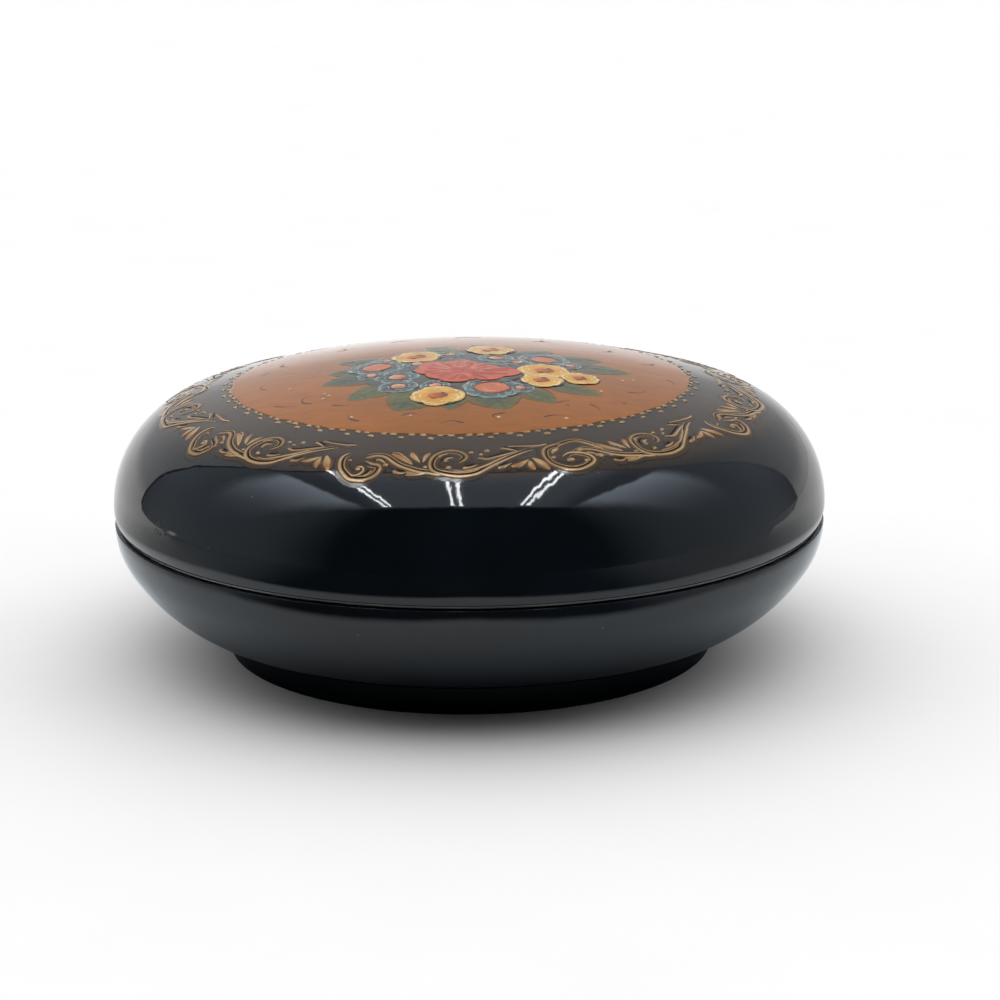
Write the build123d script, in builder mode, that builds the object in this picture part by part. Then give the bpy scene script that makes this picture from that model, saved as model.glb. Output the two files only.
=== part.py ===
"""Round lacquered trinket box with a lift-off domed lid, a bowl on a foot ring and a painted medallion.

Millimetres, +Z up. The origin is the centre of the foot ring's underside, and the front of
the painting faces -Y. The lid is shown closed, seated on the bowl's rim.
"""

from build123d import *
import os
from math import asin, atan2, cos, degrees, hypot, pi, radians, sin, sqrt

os.makedirs("parts", exist_ok=True)

# Foot ring
foot_height = 5.3
foot_width = 4.0
foot_setback = 2.4          # flat of the bowl's underside left showing outside the foot
foot_edge_round = 0.5

# Bowl
bowl_inset = 0.1            # from the lid's widest radius in to the bowl's
bowl_wall = 3.3
rim_height = 20.85          # plane of the bowl's rim, where the lid seats
rim_band = 1.85             # straight band below the rim
rim_round_radius = 6.0      # bend from the band into the side
rim_round_angle = 32.0
side_angle = 60.0           # where the side's arc hands over to the heel, below the horizontal
heel_radius = 8.0
bowl_edge_round = 0.5

# Collar glued in the bowl's mouth, which keeps the lid in place
collar_clearance = 0.4      # between the collar and the lid's inner wall
collar_thickness = 1.5
collar_depth = 4.5          # how far it reaches down into the mouth
collar_rise = 4.0           # how far it stands above the rim
collar_edge_round = 0.5

# Lid
lid_radius = 55.0
lid_wall = 3.0
lid_side_height = 2.65      # from the rim up to the widest line
lid_rim_inset = 0.8         # how far the side curls in between the widest line and the rim
lid_edge_round = 0.6
shoulder_radius = 16.5
crown_radius = 161.6

# Painting: thicknesses above the lacquer, and rings seen from above, from the outside in
ground_thickness = 0.1      # ochre ground of the medallion
relief_thickness = 0.2      # raised gold strokes and the bouquet's petals
paint_gap = 0.25            # lacquer or ground left showing between two strokes
border_margin = 8.6         # from the lid's widest radius in to the outermost scroll line
scroll_reach = 3.0          # from the border's middle line to its outermost and innermost lines
border_gap = 3.2            # from the innermost scroll line to the outer beads
bead_row_step = 0.8         # from the outer row of beads to the inner row
bead_row_gap = 0.65         # from the inner beads to the medallion's edge
medallion_shift = -0.7      # the medallion sits a little left of the lid's centre

# Gold beads round the medallion, in threes: two in the inner row, one outside between them
bead_groups = 54
bead_radius = 0.5
bead_height = 0.3
bead_spread = 0.3           # from a group's middle to each inner bead, as a share of the group

# Gold scroll border: each scroll is a stem that swings across the border and then coils
scroll_pairs = 9            # pairs of scrolls, one curling outwards and one inwards
coil_offset = 0.4           # from the middle line to a scroll's centre
coil_end_radius = 0.75
coil_turns = 1.25
stroke_width = 0.65
stem_start = 0.2            # share of the swing left out, so that a stem starts clear of its neighbour
stem_start_width = 0.55     # widths as shares of stroke_width
coil_end_width = 0.6
stem_points = 6
coil_points = 16

# Gold leaves that fan out of each stem, three on its outer side and two on its inner side
leaf_length = 2.8
leaf_width = 1.0
leaf_widths = [0.25, 0.75, 1.0, 0.8, 0.2]       # along a leaf, as shares of leaf_width
leaf_fan = [                # along the pitch and across the reach as shares, heading in degrees, size
    (0.46, 0.42, 84, 0.75), (0.55, 0.22, 55, 1.0), (0.64, -0.02, 24, 0.85),
    (0.52, -0.42, 238, 0.75), (0.42, -0.2, 214, 0.9),
]

# Bouquet: places are x, y on the lid seen from above, and sizes are radii
red_bloom_place = (-0.6, -9.9)
red_bloom_radius = 6.9
yellow_bloom_radius = 2.9
yellow_bloom_places = [(-8.0, 0.2), (3.4, 4.4), (11.4, -8.7), (10.9, -14.8), (17.0, -11.8), (-4.6, -21.8)]
peach_bloom_radius = 2.5
peach_bloom_places = [(-13.4, -5.6), (3.1, -19.0), (11.2, -1.4)]
blue_petal_radius = 1.3
blue_petal_places = [
    (-10.7, -12.4), (-10.6, -16.8), (-5.4, -17.3), (4.2, -1.6), (-2.6, 1.6), (7.4, -3.9),
    (7.5, -18.4), (-8.3, -5.2), (15.8, -4.4), (-12.0, -1.6), (-14.4, -10.1),
]
petal_count = 5
petal_share = 0.48          # a petal's radius as a share of its bloom's
bouquet_leaf_width = 5.4
bouquet_leaf_length = 11.0
bouquet_heart = (0.0, -9.5)             # leaves point away from here
bouquet_leaf_places = [                 # angle seen from the heart, and the way out to a leaf's middle
    (184, 21.8), (163, 22.6), (146, 22.8), (112, 18.4), (94, 20.2), (52, 19.4), (30, 21.8),
    (13, 24.8), (334, 21.2), (308, 19.0), (287, 18.6), (236, 20.2), (214, 20.4),
]

# Worked out from the sizes above
front = -pi / 2
bowl_radius = lid_radius - bowl_inset
side_radius = (
    rim_height - rim_band - foot_height
    - rim_round_radius * sin(radians(rim_round_angle))
    - heel_radius * (1 - sin(radians(side_angle)))
) / (sin(radians(side_angle)) - sin(radians(rim_round_angle)))
lid_belly_height = rim_height + lid_side_height
shoulder_centre = (lid_radius - shoulder_radius, lid_belly_height)
crown_centre_height = lid_belly_height - sqrt(
    (crown_radius - shoulder_radius) ** 2 - shoulder_centre[0] ** 2
)
shoulder_angle = degrees(atan2(lid_belly_height - crown_centre_height, shoulder_centre[0]))
lid_top = crown_centre_height + crown_radius
lid_inner_radius = lid_radius - lid_wall
collar_radius = lid_inner_radius - collar_clearance
collar_foot = rim_height - collar_depth
coil_radius = scroll_reach - coil_offset
border_radius = lid_radius - border_margin - scroll_reach
outer_bead_radius = border_radius - scroll_reach - border_gap
inner_bead_radius = outer_bead_radius - bead_row_step
medallion_radius = inner_bead_radius - bead_row_gap
scroll_pitch = pi * border_radius / scroll_pairs


def along(centre, radius, angle):
    """Point on a circle, with the angle in degrees from the local X axis."""
    return (centre[0] + radius * cos(radians(angle)), centre[1] + radius * sin(radians(angle)))


def bowl_centres():
    """Centres of the three arcs of the bowl's side, from the rim down, each tangent to the next."""
    rim_centre = (bowl_radius - rim_round_radius, rim_height - rim_band)
    side_centre = along(rim_centre, rim_round_radius - side_radius, -rim_round_angle)
    heel_centre = along(side_centre, side_radius - heel_radius, -side_angle)
    return rim_centre, side_centre, heel_centre


def bowl_section(inset):
    """Closed half section of the bowl's outside, or of its inside when it is moved in by inset."""
    rim_centre, side_centre, heel_centre = bowl_centres()
    rim_arc = CenterArc(rim_centre, rim_round_radius - inset, 0, -rim_round_angle)
    CenterArc(side_centre, side_radius - inset, -rim_round_angle, rim_round_angle - side_angle)
    heel_arc = CenterArc(heel_centre, heel_radius - inset, -side_angle, side_angle - 90)
    top = (bowl_radius - inset, rim_height)
    Polyline(rim_arc @ 0, top, (0, rim_height), (0, (heel_arc @ 1).Y), heel_arc @ 1)


def dome_section(inset):
    """The lid's dome from its widest line up to the axis, moved in by inset: its first and last point."""
    shoulder = CenterArc(shoulder_centre, shoulder_radius - inset, 0, shoulder_angle)
    crown_centre = (0, crown_centre_height)
    crown = CenterArc(crown_centre, crown_radius - inset, shoulder_angle, 90 - shoulder_angle)
    return shoulder @ 0, crown @ 1


def dome_plane(x, y):
    """Plane that touches the lid's surface above a point of the plan, on the crown or the shoulder."""
    radius = hypot(x, y)
    if radius < crown_radius * cos(radians(shoulder_angle)):
        height = crown_centre_height + sqrt(crown_radius ** 2 - radius ** 2)
        return Plane(origin=(x, y, height), z_dir=(x, y, height - crown_centre_height))
    reach = radius - shoulder_centre[0]
    rise = sqrt(shoulder_radius ** 2 - reach ** 2)
    return Plane(
        origin=(x, y, shoulder_centre[1] + rise), z_dir=(x * reach / radius, y * reach / radius, rise)
    )


def paint_layer(low, high):
    """Skin over the whole dome, from low to high above the lid's surface."""
    with BuildPart() as layer:
        with BuildSketch(Plane.XZ):
            with BuildLine():
                low_start, low_end = dome_section(-low)
                high_start, high_end = dome_section(-high)
                Line(low_start, high_start)
                Line(low_end, high_end)
            make_face()
        revolve(axis=Axis.Z)
    return layer.part


def border_point(run, reach):
    """Border coordinates, run along its middle line from the front and reach outwards, in plan."""
    angle = front + run / border_radius
    return ((border_radius + reach) * cos(angle), (border_radius + reach) * sin(angle))


def ribbon(points, widths):
    """Brush stroke along a centre line, with a width at each of its points."""
    left = []
    right = []
    last = len(points) - 1
    for index, (point, width) in enumerate(zip(points, widths)):
        before = points[max(index - 1, 0)]
        after = points[min(index + 1, last)]
        step = hypot(after[0] - before[0], after[1] - before[1])
        normal = ((before[1] - after[1]) / step, (after[0] - before[0]) / step)
        left.append((point[0] + normal[0] * width / 2, point[1] + normal[1] * width / 2))
        right.append((point[0] - normal[0] * width / 2, point[1] - normal[1] * width / 2))
    with BuildLine() as outline:
        Spline(left)
        Spline(right)
        Line(left[0], right[0])
        Line(left[-1], right[-1])
    make_face(outline.edges())


def scroll_stroke(place, side):
    """One scroll, coiled towards side (+1 is outwards)."""
    points = []
    widths = []
    for step in range(stem_points):
        share = stem_start + (1 - stem_start) * step / stem_points
        swing = 2 * scroll_reach * (3 * share ** 2 - 2 * share ** 3) - scroll_reach
        points.append(border_point(place + scroll_pitch * (1 - share), side * swing))
        widths.append(stroke_width * (stem_start_width + (1 - stem_start_width) * share))
    for step in range(coil_points + 1):
        share = step / coil_points
        turn = 2 * pi * coil_turns * share
        radius = coil_radius + (coil_end_radius - coil_radius) * share
        reach = side * (coil_offset + radius * cos(turn))
        points.append(border_point(place - radius * sin(turn), reach))
        widths.append(stroke_width * (1 + (coil_end_width - 1) * share))
    ribbon(points, widths)


def leaf_cluster(place, side):
    """Teardrop leaves that fan out of a stem where it crosses the border."""
    for run_share, reach_share, heading, size in leaf_fan:
        root = (place + run_share * scroll_pitch, reach_share * scroll_reach)
        points = []
        for step in range(len(leaf_widths)):
            run, reach = along(root, leaf_length * size * step / (len(leaf_widths) - 1), heading)
            points.append(border_point(run, side * reach))
        ribbon(points, [leaf_width * size * share for share in leaf_widths])


def bloom(places, radius, grow=0.0, mode=Mode.ADD):
    """Rosette of round petals at each place, widened all round by grow."""
    petal = radius * petal_share
    with Locations(*places):
        with PolarLocations(radius - petal, petal_count, start_angle=90):
            Circle(petal + grow, mode=mode)
        Circle(radius - petal + grow, mode=mode)


def cut_back(bloom_kinds):
    """Cuts a colour back from the blooms painted over it, with paint_gap left between them."""
    for places, radius in bloom_kinds:
        bloom(places, radius, paint_gap, Mode.SUBTRACT)


def bouquet_leaf_outline():
    """Pointed oval leaves set round the bouquet's heart."""
    for angle, reach in bouquet_leaf_places:
        middle = along(bouquet_heart, reach, angle)
        tip = along(middle, bouquet_leaf_length / 2, angle)
        root = along(middle, bouquet_leaf_length / 2, angle + 180)
        edge_one = along(middle, bouquet_leaf_width / 2, angle + 90)
        edge_two = along(middle, bouquet_leaf_width / 2, angle - 90)
        with BuildLine() as outline:
            ThreePointArc(root, edge_one, tip)
            ThreePointArc(root, edge_two, tip)
        make_face(outline.edges())


# Foot ring, flat underneath and flat on top where the bowl is glued on
foot_radius = bowl_centres()[2][0] - foot_setback
with BuildPart() as foot_ring:
    with BuildSketch(Plane.XZ):
        with Locations((foot_radius - foot_width / 2, foot_height / 2)):
            Rectangle(foot_width, foot_height)
    revolve(axis=Axis.Z)
    fillet(foot_ring.edges().filter_by(GeomType.CIRCLE).group_by(Axis.Z)[0], radius=foot_edge_round)
foot_ring.part.label = "foot_ring"
export_step(foot_ring.part, "parts/foot_ring.step")


# Bowl, with a rebate in its mouth for the collar
with BuildPart() as bowl_shell:
    with BuildSketch(Plane.XZ):
        with BuildLine():
            bowl_section(0)
        make_face()
    revolve(axis=Axis.Z)
    with BuildSketch(Plane.XZ):
        with BuildLine():
            bowl_section(bowl_wall)
        make_face()
        with Locations((0, collar_foot)):
            Rectangle(bowl_radius, collar_foot, align=(Align.MIN, Align.MAX), mode=Mode.INTERSECT)
            Rectangle(collar_radius, collar_depth, align=(Align.MIN, Align.MIN))
    revolve(axis=Axis.Z, mode=Mode.SUBTRACT)
    rim_edges = bowl_shell.edges().filter_by(GeomType.CIRCLE).group_by(Axis.Z)[-1]
    fillet(rim_edges.sort_by(SortBy.RADIUS)[-1], radius=bowl_edge_round)
bowl_shell.part.label = "bowl_shell"
export_step(bowl_shell.part, "parts/bowl_shell.step")


# Collar, standing on the rebate's ledge and rising into the lid
with BuildPart() as bowl_collar:
    with BuildSketch(Plane.XZ):
        with Locations((collar_radius, collar_foot)):
            Rectangle(collar_thickness, collar_depth + collar_rise, align=(Align.MAX, Align.MIN))
    revolve(axis=Axis.Z)
    collar_top = bowl_collar.edges().filter_by(GeomType.CIRCLE).group_by(Axis.Z)[-1]
    fillet(collar_top, radius=collar_edge_round)
bowl_collar.part.label = "bowl_collar"
export_step(bowl_collar.part, "parts/bowl_collar.step")


# Lid: an even shell whose side curls in to a flat rim
with BuildPart() as lid_shell:
    with BuildSketch(Plane.XZ):
        with BuildLine():
            belly, peak = dome_section(0)
            rim_outer = (lid_radius - lid_rim_inset, rim_height)
            rim_inner = (lid_inner_radius, rim_height)
            TangentArc(belly, rim_outer, tangent=(0, -1))
            Line(rim_outer, rim_inner)
            inner_belly, inner_peak = dome_section(lid_wall)
            Line(rim_inner, inner_belly)
            Line(inner_peak, peak)
        make_face()
    revolve(axis=Axis.Z)
    lid_rim_edges = lid_shell.edges().filter_by(GeomType.CIRCLE).group_by(Axis.Z)[0]
    fillet(lid_rim_edges, radius=lid_edge_round)
lid_shell.part.label = "lid_shell"
export_step(lid_shell.part, "parts/lid_shell.step")


# Skins over the dome that the painted pieces are cut from
paint_plane = Plane.XY.offset(rim_height)
relief_top = ground_thickness + relief_thickness
paint_reach = lid_top + relief_top - rim_height
ground_layer = paint_layer(0, ground_thickness)
lacquer_relief = paint_layer(0, relief_thickness)
ground_relief = paint_layer(ground_thickness, relief_top)


# Ochre ground of the medallion
with BuildPart() as medallion_ground:
    with BuildSketch(paint_plane):
        with Locations((medallion_shift, 0)):
            Circle(medallion_radius)
    extrude(amount=paint_reach)
    add(ground_layer, mode=Mode.INTERSECT)
medallion_ground.part.label = "medallion_ground"
export_step(medallion_ground.part, "parts/medallion_ground.step")


# Gold beads on planes that touch the dome
bead_sphere = (bead_radius ** 2 + bead_height ** 2) / (2 * bead_height)
bead_latitude = degrees(asin((bead_sphere - bead_height) / bead_sphere))
bead_planes = []
for group in range(bead_groups):
    for row, share in (
        (inner_bead_radius, -bead_spread), (inner_bead_radius, bead_spread), (outer_bead_radius, 0)
    ):
        turn = front + 2 * pi * (group + share) / bead_groups
        bead_planes.append(dome_plane(medallion_shift + row * cos(turn), row * sin(turn)))
with BuildPart() as bead_border:
    with Locations(*bead_planes):
        Sphere(bead_sphere, arc_size1=bead_latitude, align=(Align.CENTER, Align.CENTER, Align.MIN))
bead_border.part.label = "bead_border"
export_step(bead_border.part, "parts/bead_border.step")


# Gold scrolls of the border: one outward and one inward, repeated round it
with BuildPart() as scroll_pair:
    with BuildSketch(paint_plane):
        scroll_stroke(0, 1)
        scroll_stroke(scroll_pitch, -1)
    extrude(amount=paint_reach)
    add(lacquer_relief, mode=Mode.INTERSECT)
with BuildPart() as scroll_border:
    with PolarLocations(0, scroll_pairs):
        add(scroll_pair.part)
scroll_border.part.label = "scroll_border"
export_step(scroll_border.part, "parts/scroll_border.step")


# Gold leaves of the border, in the same repeat
with BuildPart() as leaf_pair:
    with BuildSketch(paint_plane):
        leaf_cluster(0, 1)
        leaf_cluster(scroll_pitch, -1)
    extrude(amount=paint_reach)
    add(lacquer_relief, mode=Mode.INTERSECT)
with BuildPart() as border_leaves:
    with PolarLocations(0, scroll_pairs):
        add(leaf_pair.part)
border_leaves.part.label = "border_leaves"
export_step(border_leaves.part, "parts/border_leaves.step")


# Bouquet on the ground: each colour is cut back from the colours painted over it
red = ([red_bloom_place], red_bloom_radius)
yellow = (yellow_bloom_places, yellow_bloom_radius)
peach = (peach_bloom_places, peach_bloom_radius)
with BuildPart() as red_bloom:
    with BuildSketch(paint_plane):
        bloom(*red)
    extrude(amount=paint_reach)
    add(ground_relief, mode=Mode.INTERSECT)
red_bloom.part.label = "red_bloom"
export_step(red_bloom.part, "parts/red_bloom.step")


with BuildPart() as yellow_blooms:
    with BuildSketch(paint_plane):
        bloom(*yellow)
        cut_back([red])
    extrude(amount=paint_reach)
    add(ground_relief, mode=Mode.INTERSECT)
yellow_blooms.part.label = "yellow_blooms"
export_step(yellow_blooms.part, "parts/yellow_blooms.step")


with BuildPart() as peach_blooms:
    with BuildSketch(paint_plane):
        bloom(*peach)
        cut_back([red, yellow])
    extrude(amount=paint_reach)
    add(ground_relief, mode=Mode.INTERSECT)
peach_blooms.part.label = "peach_blooms"
export_step(peach_blooms.part, "parts/peach_blooms.step")


with BuildPart() as blue_petals:
    with BuildSketch(paint_plane):
        with Locations(*blue_petal_places):
            Circle(blue_petal_radius)
        cut_back([red, yellow, peach])
    extrude(amount=paint_reach)
    add(ground_relief, mode=Mode.INTERSECT)
blue_petals.part.label = "blue_petals"
export_step(blue_petals.part, "parts/blue_petals.step")


with BuildPart() as bouquet_leaves:
    with BuildSketch(paint_plane):
        bouquet_leaf_outline()
        for places, radius in (red, yellow, peach, (blue_petal_places, blue_petal_radius)):
            with Locations(*places):
                Circle(radius + paint_gap, mode=Mode.SUBTRACT)
    extrude(amount=paint_reach)
    add(ground_relief, mode=Mode.INTERSECT)
bouquet_leaves.part.label = "bouquet_leaves"
export_step(bouquet_leaves.part, "parts/bouquet_leaves.step")
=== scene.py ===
"""Looks of a round lacquered trinket box: black gloss lacquer, a painted bouquet and gold scrolls.

Metres, +Z up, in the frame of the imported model. Every piece is a numpy surface with its place in
its mesh. The sections are the CAD solids', but for a wider bend below the bowl's rim.
"""

import bpy
import numpy as np
from mathutils import Matrix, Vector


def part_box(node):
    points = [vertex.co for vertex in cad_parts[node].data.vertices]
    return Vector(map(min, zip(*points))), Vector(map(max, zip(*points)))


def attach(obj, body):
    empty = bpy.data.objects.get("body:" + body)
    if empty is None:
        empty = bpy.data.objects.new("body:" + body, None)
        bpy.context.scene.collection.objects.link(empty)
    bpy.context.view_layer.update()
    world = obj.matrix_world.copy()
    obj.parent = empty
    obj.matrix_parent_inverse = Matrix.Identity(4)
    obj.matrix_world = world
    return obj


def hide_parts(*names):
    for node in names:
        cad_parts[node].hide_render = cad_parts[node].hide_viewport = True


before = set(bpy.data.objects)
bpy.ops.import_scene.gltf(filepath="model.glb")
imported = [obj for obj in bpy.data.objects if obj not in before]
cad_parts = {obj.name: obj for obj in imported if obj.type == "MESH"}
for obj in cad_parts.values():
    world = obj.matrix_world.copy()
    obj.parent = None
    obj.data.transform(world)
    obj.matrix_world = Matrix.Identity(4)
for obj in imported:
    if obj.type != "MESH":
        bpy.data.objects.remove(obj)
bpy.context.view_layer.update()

bl_info = {
    "name": "Lacquered Trinket Box",
    "version": (1, 0, 0),
    "blender": (4, 5, 0),
    "location": "View3D > Sidebar > Trinket Box",
    "description": "Builds a round lacquered trinket box with a painted, lift-off lid",
    "category": "Add Mesh",
}

lid_low, lid_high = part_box("lid_shell")
bowl_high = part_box("bowl_shell")[1]
collar_low, collar_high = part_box("bowl_collar")
foot_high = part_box("foot_ring")[1]
MM = 0.001
TOUCHING = 1e-7                         # points of a section closer than this are one
SINK = 0.04 * MM                        # how deep paint reaches below the surface it lies on
FINE_WIDTH = 0.34 * MM                  # width of the border's companion lines and painted shadow lines
COMPANION_GAP = 0.66 * MM               # from a main line's middle to its companion's
SHADOW_LINE_GAP = 0.10 * MM                  # from a stroke's edge to the middle of its painted shadow line
GLAZE_MARGIN = 1.3 * MM                 # how much wider than a stroke the glaze under it is
BORDER_PLACE = (-1.1 * MM, -0.4 * MM)   # middle of the border
BORDER_PULL = 4.5                       # degrees by which the border's far left is drawn to the front
BORDER_START = -18.9                    # degrees from the front to a pair's first scroll
RUB_HIGHLIGHT_BAND = 0.62 * MM                 # height of the pale rim line above the lid's rim: rubbed lacquer and painted highlight
RUB_HIGHLIGHT_FADE = 0.15 * MM                    # how softly that line begins
TINT_INNER = (34.5 * MM, 37.0 * MM)     # the brown tint comes in between these radii
TINT_OUTER = (48.5 * MM, 46.0 * MM)     # and goes out between these
BLEMISH = (-0.0444, -0.0320, 0.0262)    # middle of a small flaw in the lid's lacquer
SCRAPE = (2.1 * MM, -2.0 * MM, 0.4 * MM)    # from the flaw to a pale scrape beside it
SCRAPE_SQUEEZE = (0.5, 0.5, 2.2)        # makes the scrape long and low
WORN_BROWN = (0.12, 0.085, 0.06)        # where the foot's lacquer is worn near the floor
PAINT_IOR = 1.4                         # paint reflects a little less than bare lacquer
ALONG_FLOOR = (1.0, 1.0, 0.0)           # takes the height out of a vector
RIM_DARK = (0.02, 0.02, 0.025)          # dark seam at the end of the sheet and the tent
TENT_SLANT = 0.78                       # how fast the tent's open edge runs back towards the sides
CEILING = 2.0                           # height of the ceiling with the tubes
TUBE_MIDDLES = (-0.757, -0.700, -0.134, -0.070, 0.436, 0.496)   # across, for three pairs of tubes
TUBE_HALF = 0.013                       # half a tube's width
FLOOR_REACH = 6.0                       # half the floor's width


def length(name, text, default):
    """A length property in metres."""
    return bpy.props.FloatProperty(
        name=name, description=text, default=default, subtype="DISTANCE", unit="LENGTH", precision=5
    )


def angle(name, text, default):
    """An angle property, given in degrees."""
    return bpy.props.FloatProperty(
        name=name, description=text, default=np.radians(default), subtype="ANGLE", unit="ROTATION"
    )


def colour(name, text, default):
    """A colour property, in linear light."""
    return bpy.props.FloatVectorProperty(
        name=name, description=text, default=default, size=3, min=0.0, max=1.0, subtype="COLOR"
    )


class TrinketSizes(bpy.types.PropertyGroup):
    """Sections of the lid, bowl, collar and foot."""

    lid_radius: length("Lid radius", "Widest radius of the lid", lid_high.x)
    lid_wall: length("Lid wall", "Thickness of the lid", 3.0 * MM)
    belly_height: length("Belly height", "Height of the lid's widest line", 23.5 * MM)
    rim_height: length("Rim height", "Height of the seam between lid and bowl", lid_low.z)
    rim_inset: length("Rim inset", "How far the lid curls in below its widest line", 0.8 * MM)
    shoulder_radius: length("Shoulder radius", "Bend from the side into the crown", 16.5 * MM)
    crown_radius: length("Crown radius", "Radius of the shallow crown", 161.6 * MM)
    edge_round: length("Edge round", "Softening of the rims", 0.6 * MM)
    bowl_radius: length("Bowl radius", "Widest radius of the bowl", bowl_high.x)
    bowl_wall: length("Bowl wall", "Thickness of the bowl", 3.3 * MM)
    rim_band: length("Rim band", "Straight band below the bowl's rim", 0.12 * MM)
    rim_round: length("Rim bend", "Bend from the band into the side", 11.0 * MM)
    rim_angle: angle("Rim bend angle", "Where that bend ends, below the horizontal", 32.0)
    side_angle: angle("Side angle", "Where the side hands over to the heel", 60.0)
    heel_radius: length("Heel radius", "Bend from the side into the flat underside", 8.0 * MM)
    foot_height: length("Foot height", "Height of the foot ring", foot_high.z)
    foot_radius: length("Foot radius", "Outer radius of the foot ring", foot_high.x)
    foot_width: length("Foot width", "Width of the foot ring", 4.0 * MM)
    collar_radius: length("Collar radius", "Outer radius of the collar", collar_high.x)
    collar_wall: length("Collar wall", "Thickness of the collar", 1.5 * MM)
    collar_foot: length("Collar foot", "Height of the ledge the collar stands on", collar_low.z)
    collar_top: length("Collar top", "Height of the collar's upper edge", collar_high.z)
    turns: bpy.props.IntProperty(
        name="Turns", description="Faces round each turned piece", default=288, min=24, max=512
    )


class TrinketPaint(bpy.types.PropertyGroup):
    """Sizes of the painting on the lid."""

    medallion_radius: length("Medallion radius", "Radius of the ochre ground", 35.2 * MM)
    medallion_shift: length("Medallion shift", "How far the medallion sits to the right", -1.3 * MM)
    medallion_drop: length("Medallion drop", "How far the medallion sits to the back", -0.8 * MM)
    ground: length("Ground", "Thickness of the ochre ground", 0.08 * MM)
    relief: length("Relief", "Height of the raised strokes", 0.11 * MM)
    line_width: length("Line width", "Width of the main gold lines", 0.74 * MM)
    bead_radius: length("Bead radius", "Radius of a gold bead", 0.50 * MM)
    bead_inner: length("Inner beads", "Radius of the inner row of beads", 35.4 * MM)
    bead_outer: length("Outer beads", "Radius of the outer row of beads", 36.35 * MM)
    bead_groups: bpy.props.IntProperty(
        name="Bead groups", description="Groups of three beads in the ring", default=54, min=6, max=120
    )
    scroll_pairs: bpy.props.IntProperty(
        name="Scroll pairs", description="Pairs of scrolls round the border", default=9, min=3, max=24
    )


class TrinketColours(bpy.types.PropertyGroup):
    """Colours of the finishes."""

    lacquer: colour("Lacquer", "Black lacquer", (0.0005, 0.0018, 0.0032))
    dust: colour("Dust", "Specks of dust caught in the lacquer", (0.10, 0.10, 0.095))
    # Pale rim colour: partly rubbed lacquer, partly a painted highlight along the lid's lower rim; also the
    # pale scrape's colour
    rub_and_highlight: colour("Rubbed", "Rubbed lacquer of the lid's lower rim", (0.36, 0.36, 0.37))
    inside: colour("Inside", "Satin lacquer of the inside", (0.006, 0.0055, 0.0055))
    ochre: colour("Ochre", "Ground of the medallion", (0.300, 0.092, 0.004))
    ochre_dark: colour("Dark ochre", "Darker patches of the ground", (0.215, 0.062, 0.003))
    gold: colour("Gold", "Gold lines and beads", (0.36, 0.205, 0.075))
    gold_light: colour("Light gold", "Crests of the gold lines", (0.56, 0.38, 0.19))
    # Dark edge colour of the gold: partly a dark outline, partly painted shade on the flanks of the raised
    # lines and beads; also the glaze's darker colour
    gold_dark_and_shade: colour("Dark gold", "Edges of the gold lines", (0.060, 0.028, 0.009))
    glaze: colour("Glaze", "Thin brown glaze under the gold", (0.048, 0.026, 0.010))
    bronze: colour("Bronze", "Filled leaves of the border", (0.37, 0.155, 0.038))
    red: colour("Red", "Petals of the large bloom", (0.52, 0.042, 0.016))
    pink: colour("Pink", "Light strokes of the red petals", (0.56, 0.11, 0.06))
    yellow: colour("Yellow", "Petals of the yellow blooms", (0.80, 0.47, 0.085))
    cream: colour("Cream", "Light edge of the yellow petals", (0.90, 0.68, 0.34))
    peach: colour("Peach", "Hearts of the pale blooms", (0.56, 0.165, 0.055))
    blue: colour("Blue", "Blue-grey petals", (0.028, 0.048, 0.062))
    pale_blue: colour("Pale blue", "Light edge of the blue petals", (0.42, 0.47, 0.44))
    green: colour("Green", "Leaves of the bouquet", (0.115, 0.125, 0.030))
    leaf_edge: colour("Leaf edge", "Ochre that shows through the leaves' edges", (0.160, 0.082, 0.014))
    green_blue: colour("Blue green", "Cool parts of the leaves", (0.060, 0.082, 0.062))
    ink: colour("Ink", "Dark outlines and curls", (0.060, 0.020, 0.006))
    vein: colour("Vein", "Veins of the leaves", (0.030, 0.038, 0.022))
    shade: colour("Shade", "Dark underpaint round the blooms", (0.072, 0.080, 0.080))
    teal: colour("Teal", "Cool tips of the blue petals", (0.060, 0.150, 0.170))
    white: colour("White", "Lightest wisps", (0.66, 0.66, 0.60))
    bud: colour("Bud", "Pale pink hearts of the blue blooms", (0.74, 0.48, 0.34))
    salmon: colour("Salmon", "Warm light red", (0.62, 0.15, 0.065))
    rose: colour("Rose", "Pale strokes on the red bloom", (0.66, 0.26, 0.15))
    ember: colour("Ember", "Red-brown hearts of the yellow blooms", (0.22, 0.032, 0.006))
    glow: colour("Glow", "Orange round the hearts of the yellow blooms", (0.56, 0.150, 0.014))
    crimson: colour("Crimson", "Deep strokes of the red petals", (0.30, 0.016, 0.018))
    tint: colour("Tint", "Brown tint of the lacquer under the border", (0.030, 0.015, 0.005))
    amber: colour("Amber", "Golden middle of the yellow petals", (0.68, 0.29, 0.030))
    floor: colour("Floor", "Pale floor", (0.925, 0.925, 0.925))


# Sections. An arc or a line ends with its number of steps.


def arc(centre, radius, start, end, count):
    """Points on a circle of the half plane, from one angle to another, in equal steps."""
    turn = np.linspace(start, end, count + 1)
    return np.stack([centre[0] + radius * np.cos(turn), centre[1] + radius * np.sin(turn)], axis=1)


def line(start, end, count=1):
    """Points on a straight run, in equal steps."""
    share = np.linspace(0.0, 1.0, count + 1)[:, None]
    return np.asarray(start, float) * (1.0 - share) + np.asarray(end, float) * share


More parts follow.
